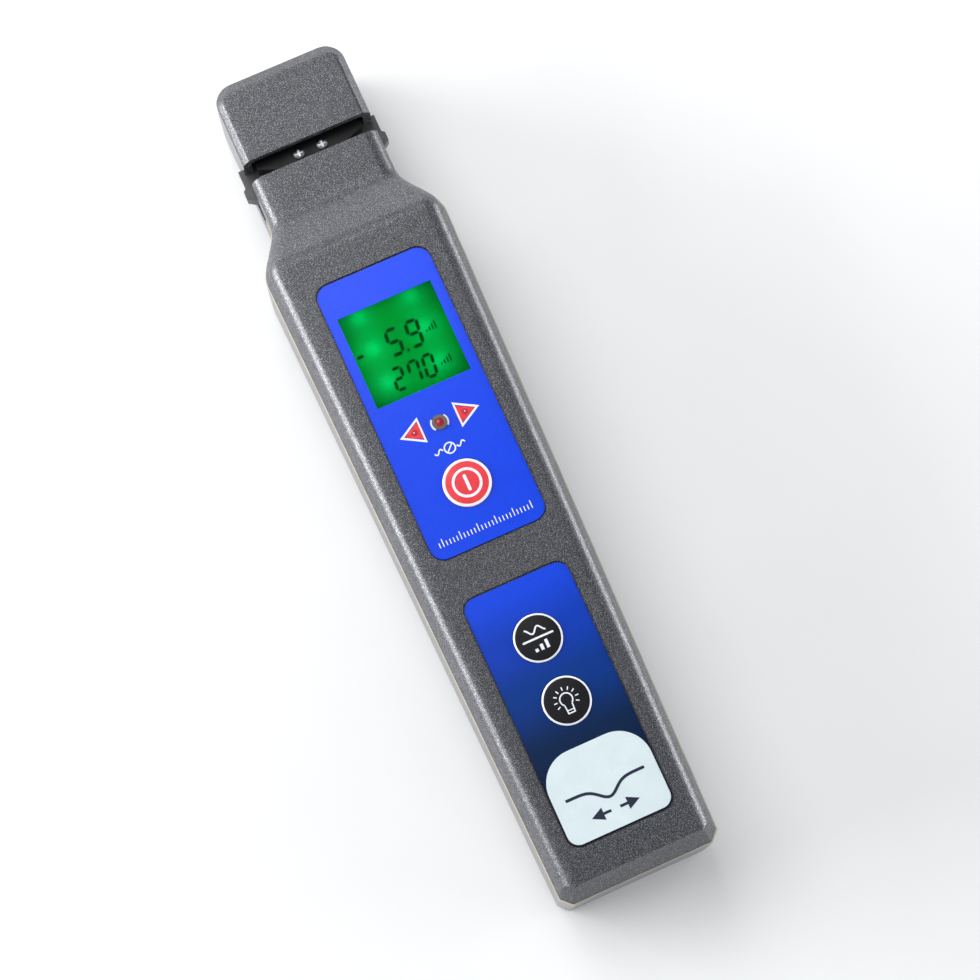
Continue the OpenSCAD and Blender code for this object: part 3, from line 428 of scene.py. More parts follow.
FINISHES = {
    "speckled_grey": speckled_paint(),
    # The gasket's pale cream is a painted highlight: a pale strip in the seam standing in for light
    # caught on the rear shell's lip
    "cream_gasket": moulded("cream_gasket", srgb(206, 196, 172), srgb(226, 218, 198),
                            0.6, 0.4, 0.01),
    "overlay_blue": film("overlay_blue", [
        (-25.5, srgb(18, 72, 236)), (10.0, srgb(24, 74, 240)), (51.3, srgb(36, 80, 250))]),
    "overlay_navy": film("overlay_navy", [
        (-90.0, srgb(8, 24, 48)), (-80.0, srgb(4, 36, 72)), (-64.0, srgb(0, 56, 140)),
        (-52.0, srgb(8, 62, 186)), (-37.0, srgb(20, 74, 232))]),
    "clear_window": clear_plastic("clear_window", (0.9, 0.97, 0.92, 1), ior=1.04),
    "display_green": backlit_green(),
    "light_guide": moulded("light_guide", srgb(196, 214, 200), srgb(222, 236, 224), 0.3, 0.8),
    "black_plastic": moulded("black_plastic", srgb(10, 10, 12), srgb(20, 20, 23), 0.4, 0.35,
                             Specular_IOR_Level=0.3),
    "contact_rubber": moulded("contact_rubber", srgb(60, 64, 70), srgb(92, 96, 102),
                              0.7, 0.3, 0.03),
    "key_red": moulded("key_red", srgb(226, 44, 54), srgb(240, 62, 72), 0.34, 0.6, 0.008),
    "key_black": moulded("key_black", srgb(16, 16, 18), srgb(28, 27, 30), 0.36, 0.6, 0.008,
                         Specular_IOR_Level=0.25),
    "white_plastic": moulded("white_plastic", srgb(214, 212, 204), srgb(236, 234, 228), 0.4),
    "lamp_red": lamp_plastic("lamp_red", srgb(214, 30, 42), srgb(232, 48, 58), 0.12),
    "lamp_dark": lamp_plastic("lamp_dark", srgb(140, 10, 30), srgb(190, 26, 46), 0.1),
    "board_green": circuit_board(),
    "steel": metal("steel", srgb(150, 152, 156), srgb(214, 216, 220)),
    "spring_steel": metal("spring_steel", srgb(120, 124, 130), srgb(190, 194, 200), 0.3),
    "brass_can": metal("brass_can", srgb(176, 140, 72), srgb(222, 190, 112), 0.28),
    "lens_glass": clear_plastic("lens_glass", (0.9, 0.97, 1.0, 1), 0.01),
    "ceramic_tan": moulded("ceramic_tan", srgb(168, 136, 96), srgb(200, 170, 126), 0.5, 0.3),
    "battery_case": moulded("battery_case", srgb(158, 120, 52), srgb(194, 152, 72),
                            0.32, 1.2, 0.006),
    "lead_red": moulded("lead_red", srgb(168, 22, 22), srgb(204, 36, 32), 0.4, 0.4, 0.01),
    "grey_foam": moulded("grey_foam", srgb(84, 84, 88), srgb(136, 136, 140), 0.9, 0.45, 0.12),
    "strip_amber": moulded("strip_amber", srgb(176, 98, 24), srgb(214, 134, 44), 0.35, 1.0, 0.006),
    "slider_white": moulded("slider_white", srgb(206, 206, 200), srgb(230, 230, 226), 0.4, 0.8),
    "display_ink": display_ink(),
    # White ink of the printing, also used for the painted glints on the arrow lamps
    "white_ink_and_painted_glint": moulded("white_ink_and_painted_glint", srgb(226, 232, 246), srgb(246, 248, 255), 0.45, 0.5, 0.006),
    "pale_field": moulded("pale_field", srgb(218, 232, 236), srgb(226, 240, 243), 0.35, 0.5, 0.005),
    "dark_ink": moulded("dark_ink", srgb(20, 26, 52), srgb(30, 38, 68), 0.4, 0.5, 0.005),
    "saddle_grey": moulded("saddle_grey", srgb(66, 65, 67), srgb(88, 87, 89), 0.42, 0.35),
    "lamp_ring": moulded("lamp_ring", srgb(84, 72, 68), srgb(116, 102, 96), 0.4, 0.4, 0.01),
}


# Mesh helpers, all in millimetres

def everything(bm):
    return bm.verts[:] + bm.edges[:] + bm.faces[:]


def as_object(bm, name):
    mesh = bpy.data.meshes.new(name)
    bm.to_mesh(mesh)
    bm.free()
    made = bpy.data.objects.new(name, mesh)
    bpy.context.scene.collection.objects.link(made)
    return made


def with_modifier(bm, kind, tool=None, **settings):
    """Runs one modifier over a mesh and gives the result back. A tool mesh is used up."""
    work = as_object(bm, "work")
    helper = as_object(tool, "tool") if tool else None
    modifier = work.modifiers.new("shape", kind)
    if helper:
        modifier.object = helper
    for name, value in settings.items():
        setattr(modifier, name, value)
    shaped = work.evaluated_get(bpy.context.evaluated_depsgraph_get())
    result = bmesh.new()
    result.from_mesh(shaped.to_mesh())
    shaped.to_mesh_clear()
    for made in (work, helper):
        if made:
            mesh = made.data
            bpy.data.objects.remove(made)
            bpy.data.meshes.remove(mesh)
    return result


def carve(bm, tool):
    return with_modifier(bm, "BOOLEAN", tool, operation="DIFFERENCE", solver="EXACT")


def place(bm, name, finish, nodes=(), body="housing", crisp=40, weighted=True):
    """Turns a mesh into a piece that rides on a body, if one is named, and stands for nodes."""
    bmesh.ops.scale(bm, vec=(MM, MM, MM), verts=bm.verts)
    for face in bm.faces:
        face.smooth = True
    for edge in bm.edges:
        edge.smooth = edge.calc_face_angle(math.pi) < math.radians(crisp)
    piece = as_object(bm, name)
    piece.data.materials.clear()
    piece.data.materials.append(FINISHES[finish])
    if weighted:
        modifier = piece.modifiers.new("flat_faces", "WEIGHTED_NORMAL")
        modifier.keep_sharp = True
        modifier.weight = 90
    if body:
        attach(piece, body)
    if nodes:
        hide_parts(*nodes)
    return piece


def from_node(node):
    """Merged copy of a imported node's mesh, in millimetres, with its flat faces whole."""
    bm = bmesh.new()
    bm.from_mesh(frame["nodes"][node].data)
    bmesh.ops.scale(bm, vec=(1 / MM, 1 / MM, 1 / MM), verts=bm.verts)
    bmesh.ops.remove_doubles(bm, verts=bm.verts, dist=0.002)
    bmesh.ops.dissolve_limit(bm, angle_limit=math.radians(0.5), verts=bm.verts, edges=bm.edges,
                             delimit={"NORMAL"})
    return bm


def sharp_edges(bm, limit=35):
    return [edge for edge in bm.edges
            if len(edge.link_faces) == 2 and edge.calc_face_angle() > math.radians(limit)]


def bevel(bm, edges, size, segments=2):
    return bmesh.ops.bevel(bm, geom=edges, offset=size, offset_type="OFFSET", segments=segments,
                           profile=0.5, affect="EDGES", clamp_overlap=True, material=-1)


def chamfer(bm, edges, size):
    """Flat chamfer. Gives its faces."""
    return set(bevel(bm, edges, size, 1)["faces"])


def soften(bm, flats, size):
    """Rounds over the two long edges of a chamfer."""
    border = [edge for edge in bm.edges
              if len(edge.link_faces) == 2 and len(flats.intersection(edge.link_faces)) == 1
              and edge.calc_face_angle() > math.radians(8)]
    bevel(bm, border, size, 4)


def round_corners(bm, verts, radius, segments):
    """Rounds corners of a flat face."""
    bmesh.ops.bevel(bm, geom=verts, offset=radius, offset_type="OFFSET", segments=segments,
                    profile=0.5, affect="VERTICES", clamp_overlap=False, material=-1)


def rectangle(bm, width, height, centre=(0, 0), corner=0, segments=8):
    """Flat rectangle facing up, its corners rounded."""
    made = bmesh.ops.create_grid(bm, x_segments=1, y_segments=1, size=0.5)["verts"]
    bmesh.ops.scale(bm, vec=(width, height, 1), verts=made)
    bmesh.ops.translate(bm, vec=(*centre, 0), verts=made)
    if corner:
        round_corners(bm, made, corner, segments)


def raise_up(bm, z0, z1):
    """Makes upright solids between two heights from flat faces at height zero."""
    faces = bm.faces[:]
    top = bmesh.ops.extrude_face_region(bm, geom=faces)["geom"]
    raised = [item for item in top if isinstance(item, bmesh.types.BMVert)]
    lower = [vert for vert in bm.verts if vert not in set(raised)]
    bmesh.ops.translate(bm, vec=(0, 0, z1), verts=raised)
    bmesh.ops.translate(bm, vec=(0, 0, z0), verts=lower)
    bmesh.ops.recalc_face_normals(bm, faces=bm.faces)


# Flat shapes for openings and printing

def turned(angle):
    return Matrix.Rotation(angle, 3, "Z")


def disc(bm, centre, radius, segments=64):
    made = bmesh.ops.create_circle(bm, cap_ends=True, segments=segments, radius=radius)["verts"]
    bmesh.ops.translate(bm, vec=(*centre, 0), verts=made)


def ring(bm, centre, inner, outer, start=0, turn=360, segments=64):
    """Flat ring, or part of one from a start angle, in degrees."""
    made = [bm.verts.new((radius, 0, 0)) for radius in (inner, outer)]
    edge = bm.edges.new(made)
    bmesh.ops.rotate(bm, cent=(0, 0, 0), matrix=turned(math.radians(start)), verts=made)
    count = max(4, round(segments * turn / 360))
    before = set(bm.verts) - set(made)
    bmesh.ops.spin(bm, geom=made + [edge], cent=(0, 0, 0), axis=(0, 0, 1),
                   angle=math.radians(turn), steps=count, use_merge=turn == 360)
    new = [vert for vert in bm.verts if vert not in before]
    bmesh.ops.translate(bm, vec=(*centre, 0), verts=new)
    face_up(bm)


def bar(bm, a, b, width, round_ends=False):
    """Flat bar between two points."""
    along = Vector(b) - Vector(a)
    before = set(bm.verts)
    length = along.length + (width if round_ends else 0)
    rectangle(bm, length, width, (0, 0), width * 0.499 if round_ends else 0, 4)
    new = [vert for vert in bm.verts if vert not in before]
    angle = math.atan2(along.y, along.x)
    bmesh.ops.rotate(bm, cent=(0, 0, 0), matrix=turned(angle), verts=new)
    bmesh.ops.translate(bm, vec=(*((Vector(a) + Vector(b)) / 2), 0), verts=new)


def patch(bm, points):
    """Flat polygon through a few points."""
    bm.faces.new([bm.verts.new((*point, 0)) for point in points])
    face_up(bm)


def face_up(bm):
    for part in bm.faces:
        part.normal_update()
    bmesh.ops.reverse_faces(bm, faces=[part for part in bm.faces if part.normal.z < 0])


def arrow(bm, side, grow):
    """Arrow window on the face, pointing to the side given, and grown by a margin all round."""
    tip = side * (ARROW_X + ARROW_HALF + 1.6 * grow)
    base = side * (ARROW_X - ARROW_HALF - grow)
    rise = ARROW_RISE + 1.4 * grow
    patch(bm, [(tip, Y_LAMPS), (base, Y_LAMPS + rise), (base, Y_LAMPS - rise)])


def wave(bm, centre, length, height, turns, width):
    """Flat wavy line."""
    count = 30
    points = []
    for i in range(count + 1):
        share = i / count - 0.5
        points.append((centre[0] + share * length,
                       centre[1] + height * math.sin(2 * math.pi * turns * share)))
    strip(bm, points, width)


def strip(bm, points, width):
    """Flat line of one width along a row of points."""
    edges = []
    for i, point in enumerate(points):
        ahead = Vector(points[min(i + 1, len(points) - 1)]) - Vector(points[max(i - 1, 0)])
        across = Vector((-ahead.y, ahead.x)).normalized() * width / 2
        pair = [bm.verts.new((*(Vector(point) + across * side), 0)) for side in (-1, 1)]
        edges.append(bm.edges.new(pair))
    for first, second in zip(edges, edges[1:]):
        bmesh.ops.bridge_loops(bm, edges=[first, second])
    face_up(bm)


# Housing

def plan_sheet(y0, y1, stations):
    """Flat sheet in the outline of the housing, cut across at each station."""
    bm = bmesh.new()
    rectangle(bm, 2, y1 - y0, (0, (y0 + y1) / 2))
    for y in stations:
        if y0 < y < y1:
            bmesh.ops.bisect_plane(bm, geom=everything(bm), plane_co=(0, y, 0), plane_no=(0, 1, 0))
    for vert in bm.verts:
        vert.co.x *= half_width(vert.co.y) - LEDGE
    return bm


def steps(y0, y1, count):
    """Even steps from one place to another, both included."""
    return [y0 + (y1 - y0) * i / count for i in range(count + 1)]


def neck_share(y):
    """How far a place lies along the way from the shoulder to the neck, 0 to 1."""
    return min(max((y - Y_SHOULDER) / (Y_NECK - Y_SHOULDER), 0), 1)


def cut_off(bm, point, normal):
    """Cuts away what lies beyond a plane and closes the cut."""
    cut = bmesh.ops.bisect_plane(bm, geom=everything(bm), plane_co=point, plane_no=normal,
                                 clear_outer=True, dist=0.0001)
    edges = [item for item in cut["geom_cut"] if isinstance(item, bmesh.types.BMEdge)]
    bmesh.ops.edgeloop_fill(bm, edges=edges)


def on_level(edge, z):
    """Whether an edge lies on a level or above it."""
    return min(vert.co.z for vert in edge.verts) > z - NEAR


def walled(bm):
    """Gives a skin the housing's wall, inwards."""
    return with_modifier(bm, "SOLIDIFY", thickness=WALL, offset=-1, use_even_offset=True,
                         use_quality_normals=True)


def cut_end(bm):
    """Cuts the leaning bottom end with its two corners, and rounds their edges."""
    lean = END_LEAN / SEAM_DEPTH
    z_seam = Z_FACE - SEAM_DEPTH
    cut_off(bm, (0, Y_END + LEDGE, z_seam), (0, -1, lean))
    for side in (-1, 1):
        corner = (side * (half_width(Y_END) - END_CORNER - LEDGE), Y_END + LEDGE, z_seam)
        cut_off(bm, corner, (side * math.sqrt(0.5), -math.sqrt(0.5), lean))
    under = [part for part in bm.faces if part.normal.z < -0.9]
    lip = [part for part in bm.faces if part.normal.y > 0.9]
    bmesh.ops.delete(bm, geom=under + lip, context="FACES")
    end = [edge for edge in sharp_edges(bm, 20)
           if max(vert.co.y for vert in edge.verts) < Y_END + SEAM_DEPTH]
    bevel(bm, end, END_SOFT, 3)


def front_form():
    """Front shell without its openings: leaning walls, chamfers and the ramp to the neck."""
    stations = steps(Y_END - 4, Y_SHOULDER - 2, 12) + steps(Y_SHOULDER, Y_NECK, 30) + [Y_LIP]
    bm = plan_sheet(Y_END - OVERRUN, Y_LIP + OVERRUN, stations)
    bmesh.ops.translate(bm, vec=(0, 0, Z_FACE - SEAM_DEPTH), verts=bm.verts)
    face = bm.faces[:]
    walls = bmesh.ops.inset_region(bm, faces=face, thickness=BODY_LEAN, depth=SEAM_DEPTH,
                                   use_boundary=True, use_even_offset=True)["faces"]
    for vert in {vert for part in face for vert in part.verts}:
        straighter = NECK_STRAIGHTER * neck_share(vert.co.y)
        vert.co.x += math.copysign(straighter, vert.co.x)
    # The long edges, but not the two ends, whose middles lie at x = 0
    rim = [edge for edge in bm.edges if len(edge.link_faces) == 2 and on_level(edge, Z_FACE)
           and abs(edge.verts[0].co.x + edge.verts[1].co.x) > END_WIDTH / 2
           and any(part in walls for part in edge.link_faces)]
    soften(bm, chamfer(bm, rim, BODY_CHAMFER), BODY_SOFT)
    bmesh.ops.holes_fill(bm, edges=[edge for edge in bm.edges if edge.is_boundary])
    cut_off(bm, (0, Y_LIP, 0), (0, 1, 0))
    cut_end(bm)
    for vert in bm.verts:
        vert.co.z -= drop(vert.co.y)
    return walled(bm)


def front_case():
    """Front shell with the beds of the films and the ways through to the inside."""
    beds = bmesh.new()
    for (width, length), y, corner in (
            (UPPER, Y_UPPER, UPPER_CORNER), (LOWER, Y_LOWER, LOWER_CORNER)):
        rectangle(beds, width + 2 * BED_GAP, length + 2 * BED_GAP, (0, y - length / 2),
                  corner + BED_GAP)
    raise_up(beds, Z_BED, Z_FACE + CUT_OVER)
    ways = bmesh.new()
    rectangle(ways, DISPLAY[0] + WINDOW_RIM, DISPLAY[1] + WINDOW_RIM, (0, Y_DISPLAY))
    for y in (Y_POWER, Y_MODE, Y_LAMP_KEY):
        disc(ways, (0, y), KEY_R + KEY_WAY)
    disc(ways, (0, Y_LAMPS), LAMP_WAY_R)
    for side in (-1, 1):
        arrow(ways, side, 0.2)
    raise_up(ways, Z_FACE - 6, Z_FACE + CUT_OVER)
    bm = carve(carve(front_form(), beds), ways)
    place(bm, "front_case", "speckled_grey", ["front_shell"])


def head_front():
    """Front half of the head above the slot."""
    bm = bmesh.new()
    length = Y_TOP - Y_HEAD + OVERRUN
    rectangle(bm, NECK_WIDTH, length, (0, Y_TOP - length / 2))
    round_corners(bm, [vert for vert in bm.verts if vert.co.y > Y_HEAD], HEAD_CORNER, 12)
    depth = SEAM_DEPTH + HEAD_SKIRT
    bmesh.ops.translate(bm, vec=(0, 0, Z_HEAD - depth), verts=bm.verts)
    bmesh.ops.inset_region(bm, faces=bm.faces[:], thickness=HEAD_LEAN, depth=depth,
                           use_boundary=True, use_even_offset=True)
    rim = [edge for edge in bm.edges if len(edge.link_faces) == 2 and on_level(edge, Z_HEAD)]
    flats = chamfer(bm, rim, HEAD_CHAMFER)
    # The edge at the top end falls away further
    for vert in {vert for part in flats for vert in part.verts}:
        share = min(max((vert.co.y - Y_TOP + FALL_FROM) / FALL_LENGTH, 0), 1)
        if vert.co.z > Z_HEAD - NEAR:
            vert.co.y -= FALL_BACK * share
        else:
            vert.co.z -= FALL_DOWN * share
    soften(bm, flats, HEAD_SOFT)
    bmesh.ops.bisect_plane(bm, geom=everything(bm), plane_co=(0, Y_HEAD, 0), plane_no=(0, -1, 0),
                           clear_outer=True)
    place(walled(bm), "head_front", "speckled_grey", ["head_cover"])


# Printing

def print_on(bm, name, finish, surface, body="housing", proud=0.03, sunk=0.05, cut=0):
    """Thin printing on a surface, and painted glints: a height, or what gives one for each place.

    With cut, the printing is first cut across at that spacing, so that it bends with the surface.
    """
    if cut:
        for axis in (0, 1):
            places = [vert.co[axis] for vert in bm.verts]
            low = min(places)
            high = max(places)
            normal = Vector((0, 0, 0))
            normal[axis] = 1
            for spot in steps(low, high, math.ceil((high - low) / cut))[1:-1]:
                bmesh.ops.bisect_plane(bm, geom=everything(bm), plane_co=normal * spot,
                                       plane_no=normal)
    raise_up(bm, -sunk, proud)
    for vert in bm.verts:
        vert.co.z += surface(vert.co.x, vert.co.y) if callable(surface) else surface
    place(bm, name, finish, body=body, crisp=30, weighted=False)


# Overlays

def overlay(name, finish, node, size, y_top, corner, openings):
    """Printed film with rounded corners, a softened rim and its openings cut through."""
    bm = bmesh.new()
    rectangle(bm, *size, (0, y_top - size[1] / 2), corner, 12)
    raise_up(bm, Z_BED, Z_FILM)
    bevel(bm, [edge for edge in bm.edges if on_level(edge, Z_FILM)], 0.12, 2)
    raise_up(openings, Z_BED - 1, Z_FACE + 1)
    place(carve(bm, openings), name, finish, [node], crisp=30)


def overlays():
    openings = bmesh.new()
    rectangle(openings, *DISPLAY, (0, Y_DISPLAY))
    disc(openings, (0, Y_POWER), KEY_R + KEY_FILM_GAP)
    disc(openings, (0, Y_LAMPS), LAMP_FILM_R)
    for side in (-1, 1):
        arrow(openings, side, 0.1)
    overlay("upper_film", "overlay_blue", "upper_overlay", UPPER, Y_UPPER, UPPER_CORNER, openings)
    openings = bmesh.new()
    for y in (Y_MODE, Y_LAMP_KEY):
        disc(openings, (0, y), KEY_R + KEY_FILM_GAP)
    overlay("lower_film", "overlay_navy", "lower_overlay", LOWER, Y_LOWER, LOWER_CORNER, openings)


# Keys

def key_surface(y_key):
    """Height of a key's domed cap."""
    def height(x, y):
        distance = min(math.hypot(x, y - y_key), KEY_R)
        over = max(distance - (KEY_R - KEY_ROUND), 0)
        fall = KEY_ROUND - math.sqrt(KEY_ROUND * KEY_ROUND - over * over)
        return KEY_TOP + KEY_DOME * (1 - (distance / KEY_R) ** 2) - fall
    return height


def key_piece(name, node, finish, body, y_key):
    """Key: a stem and a flange under the face, and a domed cap with a rounded rim."""
    profile = [
        (0, Z_KEY_LOW), (KEY_STEM_R, Z_KEY_LOW), (KEY_STEM_R, Z_FLANGE_LOW),
        (KEY_FLANGE_R, Z_FLANGE_LOW), (KEY_FLANGE_R, Z_FLANGE_TOP), (KEY_R, Z_FLANGE_TOP),
        (KEY_R, KEY_TOP - KEY_ROUND), (KEY_R - 0.3 * KEY_ROUND, KEY_TOP - 0.3 * KEY_ROUND),
        (KEY_R - KEY_ROUND, KEY_TOP)]
    rings = 12
    for i in reversed(range(rings)):
        share = i / rings * (KEY_R - KEY_ROUND) / KEY_R
        profile.append((share * KEY_R, KEY_TOP + KEY_DOME * (1 - share * share)))
    bm = bmesh.new()
    verts = [bm.verts.new((x, 0, z)) for x, z in profile]
    edges = [bm.edges.new(pair) for pair in zip(verts, verts[1:])]
    bmesh.ops.spin(bm, geom=verts + edges, cent=(0, 0, 0), axis=(0, 0, 1), angle=2 * math.pi,
                   steps=72, use_merge=True)
    bmesh.ops.remove_doubles(bm, verts=bm.verts, dist=0.001)
    bmesh.ops.recalc_face_normals(bm, faces=bm.faces)
    bmesh.ops.translate(bm, vec=(0, y_key, 0), verts=bm.verts)
    place(bm, name, finish, [node], body)


def key_rings(name, body, y_key, rings):
    bm = bmesh.new()
    for inner, outer in rings:
        ring(bm, (0, y_key), inner, outer)
    print_on(bm, name, "white_ink_and_painted_glint", key_surface(y_key), body)


def keys():
    key_piece("power_cap", "power_key", "key_red", "power_button", Y_POWER)
    key_piece("mode_cap", "mode_key", "key_black", "mode_button", Y_MODE)
    key_piece("lamp_cap", "lamp_key", "key_black", "lamp_button", Y_LAMP_KEY)
    key_rings("power_rings", "power_button", Y_POWER, [(5.45, 5.9), *RIM_RINGS, (3.15, 3.85)])
    key_rings("mode_ring", "mode_button", Y_MODE, [(5.7, 5.9), *RIM_RINGS])
    key_rings("lamp_ring", "lamp_button", Y_LAMP_KEY, [(5.7, 5.9), *RIM_RINGS])
    power_mark()
    mode_mark()
    lamp_mark()


def power_mark():
    bm = bmesh.new()
    bar(bm, (0, Y_POWER - 1.8), (0, Y_POWER + 1.8), 0.85, True)
    print_on(bm, "power_mark", "white_ink_and_painted_glint", key_surface(Y_POWER), "power_button", cut=1)


def mode_mark():
    """Two ways of reading the level: a wave over a bar and rising steps under it."""
    bm = bmesh.new()
    bar(bm, (-3.9, Y_MODE + 0.05), (3.9, Y_MODE + 0.05), 0.5, True)
    wave(bm, (0, Y_MODE + 2.1), 5.2, 0.75, 1.5, 0.42)
    for i, height in enumerate((0.8, 1.5, 2.2)):
        x = (i - 1) * 1.5
        bar(bm, (x, Y_MODE - 3.2), (x, Y_MODE - 3.2 + height), 0.8)
    print_on(bm, "mode_mark", "white_ink_and_painted_glint", key_surface(Y_MODE), "mode_button", cut=0.8)


def lamp_mark():
    """Bulb with its socket and rays."""
    bm = bmesh.new()
    centre = (0, Y_LAMP_KEY + 0.3)
    ring(bm, centre, 1.42, 1.78, -52, 284)
    for side in (-1, 1):
        bar(bm, (side * 0.98, Y_LAMP_KEY - 1.05), (side * 0.86, Y_LAMP_KEY - 3.2), 0.34)
    bar(bm, (-1.0, Y_LAMP_KEY - 3.2), (1.0, Y_LAMP_KEY - 3.2), 0.34)
    bar(bm, (-0.8, Y_LAMP_KEY - 2.45), (0.8, Y_LAMP_KEY - 2.45), 0.26)
    for angle in (-28, 0, 32, 60, 90, 120, 148, 180, 208):
        away = Vector((math.cos(math.radians(angle)), math.sin(math.radians(angle))))
        bar(bm, Vector(centre) + 2.35 * away, Vector(centre) + 3.25 * away, 0.3)
    print_on(bm, "lamp_mark", "white_ink_and_painted_glint", key_surface(Y_LAMP_KEY), "lamp_button")


# Display

SEGMENTS = {
    "a": ((0, 2), (1, 2)), "b": ((1, 2), (1, 1)), "c": ((1, 1), (1, 0)), "d": ((0, 0), (1, 0)),
    "e": ((0, 1), (0, 0)), "f": ((0, 2), (0, 1)), "g": ((0, 1), (1, 1)),
}
DIGITS = {"0": "abcdef", "2": "abged", "5": "afgcd", "7": "fabc", "9": "abcdfg"}


def digit(bm, value, left, bottom, width, height, line):
    """Seven-segment digit with pointed, slightly leaning segments."""
    slant = 0.1
    inset = line / 2
    for key in DIGITS[value]:
        ends = []
        for column, row in SEGMENTS[key]:
            x = left + inset + column * (width - line)
            y = bottom + inset + row / 2 * (height - line)
            ends.append(Vector((x, y)))
        along = (ends[1] - ends[0]).normalized()
        gap = line * 0.62
        start = ends[0] + along * gap
        stop = ends[1] - along * gap
        across = Vector((-along.y, along.x)) * inset
        tip = along * inset * 0.9
        corners = [start - tip, start - across, stop - across, stop + tip, stop + across,
                   start + across]
        patch(bm, [(p.x + slant * (p.y - bottom), p.y) for p in corners])


def display():
    bm = bmesh.new()
    upper = {"bottom": 27.5, "width": 3.9, "height": 7.6, "line": 0.95}
    lower = {"bottom": 18.8, "width": 3.3, "height": 6.5, "line": 0.85}
    digit(bm, "5", -4.15, **upper)
    digit(bm, "9", 1.35, **upper)
    # Decimal point and minus sign
    rectangle(bm, 0.8, 0.8, (0.55, 27.9))
    patch(bm, [(-12.2, 31.1), (-11.8, 30.65), (-10.6, 30.65), (-10.2, 31.1), (-10.6, 31.55),
               (-11.8, 31.55)])
    for value, left in (("2", -6.5), ("7", -2.15), ("0", 1.85)):
        digit(bm, value, left, **lower)
    print_on(bm, "display_digits", "display_ink", Z_GLASS, proud=0.02, sunk=0.02)
    # Small rising bars beside each row
    bm = bmesh.new()
    for y in (30.3, 20.9):
        for i in range(4):
            x = 6.9 + i * 0.85
            bar(bm, (x, y), (x, y + 0.6 + i * 0.5), 0.42)
    print_on(bm, "display_marks", "display_ink", Z_GLASS, proud=0.02, sunk=0.02)


# Printing on the face

def arrow_printing():
    """White outlines of the two arrow windows, the lamps seen through them, and a painted glint on
    each lamp.
    """
    bm = bmesh.new()
    for side in (-1, 1):
        outer, inner = [
            [Vector((side * tip, Y_LAMPS)), Vector((side * base, Y_LAMPS + rise)),
             Vector((side * base, Y_LAMPS - rise))]
            for tip, base, rise in ((10.85, 4.75, 3.5), (9.75, 5.2, 2.62))]
        for i in range(3):
            j = (i + 1) % 3
            patch(bm, [outer[i], outer[j], inner[j], inner[i]])
    print_on(bm, "arrow_outlines", "white_ink_and_painted_glint", Z_FILM)
    bm = bmesh.new()
    for side in (-1, 1):
        disc(bm, (side * 6.85, Y_LAMPS), 0.82, 24)
    print_on(bm, "arrow_lamp_dots", "lamp_dark", Z_FILM)
    # A small white dot on each lamp: a painted glint, a highlight painted in white ink
    bm = bmesh.new()
    for side in (-1, 1):
        disc(bm, (side * 6.95, Y_LAMPS + 0.1), 0.15, 16)
    print_on(bm, "arrow_lamp_painted_glints", "white_ink_and_painted_glint", Z_FILM, proud=0.04)


def lamp_printing():
    """Two white arcs and a dark rim round the round lamp."""
    bm = bmesh.new()
    for start in (140, -40):
        ring(bm, (0, Y_LAMPS), 1.95, 2.4, start, 80)
    print_on(bm, "lamp_arcs", "white_ink_and_painted_glint", Z_FILM)
    bm = bmesh.new()
    ring(bm, (0, Y_LAMPS), 1.05, 1.95)
    print_on(bm, "lamp_surround", "lamp_ring", Z_FACE, proud=0.12, sunk=0.3)


def no_signal_sign():
    """Crossed-out ring between two short waves."""
    bm = bmesh.new()
    x = -0.3
    y = 0.1
    for side in (-1, 1):
        wave(bm, (x + side * 3, y), 2.3, 0.55, 1, 0.36)
    ring(bm, (x, y), 1.2, 1.58)
    print_on(bm, "no_signal_ring", "white_ink_and_painted_glint", Z_FILM)
    bm = bmesh.new()
    reach = 1.02
    bar(bm, (x - reach, y - reach), (x + reach, y + reach), 0.36)
    print_on(bm, "no_signal_bar", "white_ink_and_painted_glint", Z_FILM, proud=0.04)


def level_scale():
    """Fine scale under the power key, with a longer tick at every fifth place."""
    bm = bmesh.new()
    foot = -22.3
    for i in range(27):
        x = -12.7 + i * 0.96
        bar(bm, (x, foot), (x, foot + (2.1 if i % 5 == 1 else 1.3)), 0.24)
    print_on(bm, "level_scale", "white_ink_and_painted_glint", Z_FILM)


def pale_field():
    """Pale field at the foot of the lower overlay."""
    bm = bmesh.new()
    margin = 0.35
    height = 22.2
    middle = Y_LOWER - LOWER[1] + margin + height / 2
    rectangle(bm, LOWER[0] - 2 * margin, height, (0, middle))
    high = [vert for vert in bm.verts if vert.co.y > middle]
    low = [vert for vert in bm.verts if vert.co.y < middle]
    round_corners(bm, high, 8.6, 14)
    round_corners(bm, low, 3, 10)
    print_on(bm, "pale_field", "pale_field", Z_FILM, proud=0.02)


def bend_mark():
    """Line with a bend in it, over two arrows that point apart."""
    bm = bmesh.new()
    points = []
    count = 40
    for i in range(count + 1):
        share = 2 * i / count - 1
        points.append((10.5 * share, -92 - 3.2 * math.exp(-(3.2 * share) ** 2)))
    strip(bm, points, 0.75)
    y = -98.4
    for side in (-1, 1):
        patch(bm, [(side * 6.4, y), (side * 3.2, y + 1.6), (side * 3.2, y - 1.6)])
        bar(bm, (side * 3.2, y), (side * 1.2, y), 0.7)
    print_on(bm, "bend_mark", "dark_ink", Z_FILM, proud=0.04)


def face_printing():
    arrow_printing()
    lamp_printing()
    no_signal_sign()
    level_scale()
    pale_field()
    bend_mark()


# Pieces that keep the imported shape, with their edges softened

def softened(node, name, finish, body="housing", size=0.2):
    bm = from_node(node)
    bevel(bm, sharp_edges(bm), size)
    piece = place(bm, name, finish, [node], body)


def rear_case():
    place(from_node("rear_shell"), "rear_case", "speckled_grey", ["rear_shell"])


